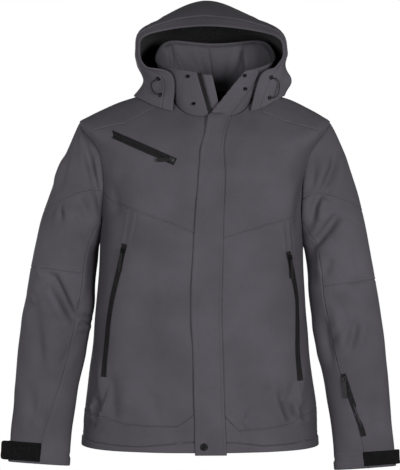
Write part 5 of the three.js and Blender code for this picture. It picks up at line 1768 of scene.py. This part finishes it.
def stud_cap(r, h):
    """A press stud's section, as radius and height: a rounded rim round a dished middle."""
    return [
        (0, 0.3), (r * 0.96, 0.3), (r, 0.55), (r, h * 0.55), (r * 0.97, h * 0.72), (r * 0.88, h * 0.92),
        (r * 0.8, h), (r * 0.7, h * 0.93), (r * 0.62, h * 0.86), (r * 0.3, h * 0.98), (0, h),
    ]


class JACKET_OT_fastenings(BuildOperator):
    """Sets the press studs, the eyelets with their cords, the sliders and the pull tabs"""

    bl_idname = "jacket.fastenings"
    bl_label = "Fastenings"

    def execute(self, context):
        for name, (x, z, turn, rise, on, radius, height) in STUDS.items():
            at = seat(body_at, spot_near(body_at, x, z, (turn, rise)), on)
            cap = lathe(f"stud_{name}_cap", stud_cap(radius, height), at)
            put(f"stud_{name}_cap", cap, [finish("metal")], "hardware", f"stud_{name}")
        seats = {}
        for name, (x, z, across, back, on) in EYELETS.items():
            at = seats[name] = seat(hood_at, spot_near(hood_at, x, z, (across, back)), on)
            ring = lathe(f"eyelet_{name}_ring", EYELET_RING, at)
            put(f"eyelet_{name}_ring", ring, [finish("metal")], "hardware", f"eyelet_{name}")
        for hand, side in HANDS.items():
            self.cord(hand, side, seats[hand + "_upper"], seats[hand + "_lower"])
        self.hardware()
        return {"FINISHED"}

    @staticmethod
    def cord(hand, side, upper, lower):
        """The elastic loop between two eyelets."""

        def at(frame_at, x, y, z):
            return frame_at[:3, :3] @ np.array([x, y, z]) + frame_at[:3, 3]

        reach = -side * CORD_OUT[hand]
        knots = [
            at(upper, 0, 0, 0.6), at(upper, 0, 0, 3.2), at(upper, -2, reach * 0.45, 6),
            at(upper, -10, reach * 0.85, 5), at(lower, 10, reach * 0.85, 5), at(lower, 2, reach * 0.45, 6),
            at(lower, 0, 0, 3.2), at(lower, 0, 0, 0.6),
        ]
        path = centripetal(knots, 10)
        rings = rings_along(path, CORD_RADIUS, 12)
        obj = put(f"cord_{hand}_elastic", tube_mesh(f"cord_{hand}_elastic", rings), [finish("cord")], "cord",
                  f"cord_{hand}")

    @staticmethod
    def hardware():
        """Sliders and pull tabs keep their solids, with eased edges."""
        for name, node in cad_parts.items():
            if not name.startswith(("slider_", "pull_")):
                continue
            metal = "bright_metal" if name == "slider_chest" else "metal"
            kind = "pull" if name.startswith("pull_") else metal
            for slot in node.material_slots:
                slot.material = finish(kind)
            ease = node.modifiers.new("Eased edges", "BEVEL")
            ease.width, ease.segments, ease.limit_method = 0.00035, 2, "ANGLE"
            ease.angle_limit = math.radians(40)


def between(p, q, start, end, at):
    """The point at a value, on the line from p at start to q at end."""
    return (end - at) / (end - start) * p + (at - start) / (end - start) * q


def centripetal(knots, steps):
    """A smooth line through knots."""
    knots = [np.array(k) for k in knots]
    ends = [2 * knots[0] - knots[1], *knots, 2 * knots[-1] - knots[-2]]
    out = []
    for i in range(1, len(ends) - 2):
        p = ends[i - 1 : i + 3]
        t = [0.0]
        for j in range(3):
            t.append(t[-1] + max(1e-4, np.linalg.norm(p[j + 1] - p[j]) ** 0.5))
        for s in np.linspace(t[1], t[2], steps, endpoint=False):
            a = [between(p[j], p[j + 1], t[j], t[j + 1], s) for j in range(3)]
            b = [between(a[j], a[j + 1], t[j], t[j + 2], s) for j in range(2)]
            out.append(between(b[0], b[1], t[1], t[2], s))
    out.append(knots[-1])
    return np.array(out)


def rings_along(path, radius, around):
    """Rings of points round a line, turning as little as they can."""
    way = unit(np.gradient(path, axis=0))
    side = unit(np.cross(way[0], [0.3, 0.5, 0.8]))
    angle = np.linspace(0, 2 * math.pi, around, endpoint=False)
    rings = []
    for p, t in zip(path, way):
        side = unit(side - t * side.dot(t))
        other = np.cross(t, side)
        rings.append(p + radius * (np.cos(angle)[:, None] * side + np.sin(angle)[:, None] * other))
    return np.array(rings)


class JACKET_OT_stitching(BuildOperator):
    """Sews the rows of topstitch beside the seams"""

    bl_idname = "jacket.stitching"
    bl_label = "Topstitching"

    def execute(self, context):
        sewing = settings().sewing
        tree = follow_tree("Stitch row", stitch_bead, {"Pitch": 0.004, "Stitch": 0.0032, "Thread": 0.0007})
        values = {"Pitch": sewing.pitch, "Stitch": sewing.stitch, "Thread": sewing.thread}
        rows = [(path + up * 0.05, up) for path, up in STITCH_ROWS]
        follow("topstitching", rows, tree, values, finish("thread"), "shell")
        return {"FINISHED"}


# Lights: name, place and size in metres, the setting that holds the power, and the share of it
LIGHTS = [
    ("key", (1.6, -2.6, -0.1), 0.9, "key", 1),
    ("fill", (-1.3, -2.9, -0.5), 1.5, "fill", 1),
    ("rim_left", (1.7, 0.35, 0.1), 0.8, "rim", 0.7),
    ("rim_right", (-1.7, 0.3, 0.1), 0.8, "rim", 1),
    ("top", (0.0, -0.4, 2.2), 1.6, "top", 1),
    ("behind", (-0.9, 2.9, 0.1), 1.5, "behind", 1),
]
LIGHT_AIM = Vector((0, 0, -0.3))
SENSOR = 36
VIEW_WIDTH = 400 * 0.00213  # the picture's pixels, at the size of one on the jacket
VIEW_X = -0.00426
VIEW_Z = -0.28755


class JACKET_OT_stage(BuildOperator):
    """Sets the white backdrop, the lights and the camera"""

    bl_idname = "jacket.stage"
    bl_label = "Stage"

    def execute(self, context):
        stage = settings().stage
        scene = context.scene
        for name, at, size, setting, share in LIGHTS:
            light = bpy.data.lights.new(name, "AREA")
            light.shape, light.size, light.energy = "SQUARE", size, getattr(stage, setting) * share
            lamp = bpy.data.objects.new(name, light)
            lamp.location = at
            lamp.rotation_euler = (LIGHT_AIM - Vector(at)).to_track_quat("-Z", "Y").to_euler()
            scene.collection.objects.link(lamp)
        world = bpy.data.worlds.new("studio")
        scene.world = world
        world.use_nodes = True
        sky = world.node_tree.nodes["Background"]
        sky.inputs["Color"].default_value = (1, 1, 1, 1)
        rays = world.node_tree.nodes.new("ShaderNodeLightPath")
        level = world.node_tree.nodes.new("ShaderNodeMapRange")
        level.inputs["To Min"].default_value = stage.ambient
        level.inputs["To Max"].default_value = stage.backdrop
        world.node_tree.links.new(rays.outputs["Is Camera Ray"], level.inputs["Value"])
        world.node_tree.links.new(level.outputs["Result"], sky.inputs["Strength"])
        scene.view_settings.view_transform = "Standard"
        lens = bpy.data.cameras.new("camera")
        lens.sensor_fit, lens.sensor_width = "HORIZONTAL", SENSOR
        lens.lens = SENSOR * stage.distance / VIEW_WIDTH
        camera = bpy.data.objects.new("camera", lens)
        camera.location = (VIEW_X, -stage.distance, VIEW_Z)
        camera.rotation_euler = (QUARTER, 0, 0)
        scene.collection.objects.link(camera)
        scene.camera = camera
        return {"FINISHED"}


# Settings

class ClothSettings(bpy.types.PropertyGroup):
    colour: FloatVectorProperty(name="Shell", description="Colour of the softshell", subtype="COLOR", min=0,
                                max=1, default=(0.094, 0.088, 0.103))
    fleece: FloatVectorProperty(name="Fleece", description="Colour of the fleece inside", subtype="COLOR",
                                min=0, max=1, default=(0.012, 0.012, 0.013))
    weave: FloatProperty(name="Weave", description="Fineness of the weave, in threads to a metre",
                         default=1500, min=300, max=4000)


class SewingSettings(bpy.types.PropertyGroup):
    pitch: FloatProperty(name="Pitch", description="From one stitch to the next", default=0.004, min=0.001,
                         subtype="DISTANCE", unit="LENGTH")
    stitch: FloatProperty(name="Stitch", description="Length of a stitch", default=0.0031, min=0.001,
                          subtype="DISTANCE", unit="LENGTH")
    thread: FloatProperty(name="Thread", description="Thickness of the thread", default=0.0007, min=0.0002,
                          subtype="DISTANCE", unit="LENGTH")


class ZipSettings(bpy.types.PropertyGroup):
    colour: FloatVectorProperty(name="Tape", description="Colour of the zip tapes", subtype="COLOR", min=0,
                                max=1, default=(0.0095, 0.009, 0.0105))
    main_pitch: FloatProperty(name="Main pitch", description="From tooth to tooth of the main zip",
                              default=0.0026, min=0.001, subtype="DISTANCE", unit="LENGTH")
    pocket_pitch: FloatProperty(name="Pocket pitch", description="From tooth to tooth of a pocket zip",
                                default=0.0014, min=0.0008, subtype="DISTANCE", unit="LENGTH")


class StageSettings(bpy.types.PropertyGroup):
    distance: FloatProperty(name="Distance", description="From the camera to the jacket's middle",
                            default=3.2, min=1, subtype="DISTANCE", unit="LENGTH")
    key: FloatProperty(name="Key", description="Power of the key light", default=50, min=0, unit="POWER")
    fill: FloatProperty(name="Fill", description="Power of the fill light", default=42, min=0, unit="POWER")
    rim: FloatProperty(name="Rim", description="Power of the rim lights", default=7, min=0, unit="POWER")
    top: FloatProperty(name="Top", description="Power of the top light", default=1, min=0, unit="POWER")
    behind: FloatProperty(name="Behind", description="Power of the light behind", default=30, min=0,
                          unit="POWER")
    backdrop: FloatProperty(name="Backdrop", description="How white the space behind is", default=1, min=0)
    ambient: FloatProperty(name="Ambient", description="Strength of the even light", default=0.06, min=0)


class JacketSettings(bpy.types.PropertyGroup):
    cloth: PointerProperty(type=ClothSettings, name="Cloth", description="Colours and weave of the cloth")
    sewing: PointerProperty(type=SewingSettings, name="Sewing", description="Sizes of the topstitch")
    zips: PointerProperty(type=ZipSettings, name="Zips", description="Sizes and colour of the zips")
    stage: PointerProperty(type=StageSettings, name="Stage", description="Camera distance and lights")


OPERATORS = [
    JACKET_OT_trunk, JACKET_OT_sleeves, JACKET_OT_collar, JACKET_OT_hood, JACKET_OT_front_closing,
    JACKET_OT_pocket_zips, JACKET_OT_cuff_tabs, JACKET_OT_fastenings, JACKET_OT_stitching, JACKET_OT_stage,
]


class JACKET_PT_panel(bpy.types.Panel):
    """Lists the jacket's pieces and their sizes"""

    bl_idname = "JACKET_PT_panel"
    bl_label = "Jacket"
    bl_space_type = "VIEW_3D"
    bl_region_type = "UI"
    bl_category = "Jacket"

    def draw(self, context):
        column = self.layout.column()
        for operator in OPERATORS:
            column.operator(operator.bl_idname)
        jacket = context.scene.jacket
        for group in (jacket.cloth, jacket.sewing, jacket.zips, jacket.stage):
            for name in group.__annotations__:
                column.prop(group, name)


CLASSES = [
    ClothSettings, SewingSettings, ZipSettings, StageSettings, JacketSettings, *OPERATORS, JACKET_PT_panel,
]


def register():
    for kind in CLASSES:
        bpy.utils.register_class(kind)
    bpy.types.Scene.jacket = PointerProperty(type=JacketSettings)


def unregister():
    del bpy.types.Scene.jacket
    for kind in reversed(CLASSES):
        bpy.utils.unregister_class(kind)


def main():
    register()
    for operator in OPERATORS:
        getattr(bpy.ops.jacket, operator.bl_idname.split(".")[1])()


if __name__ == "__main__":
    main()
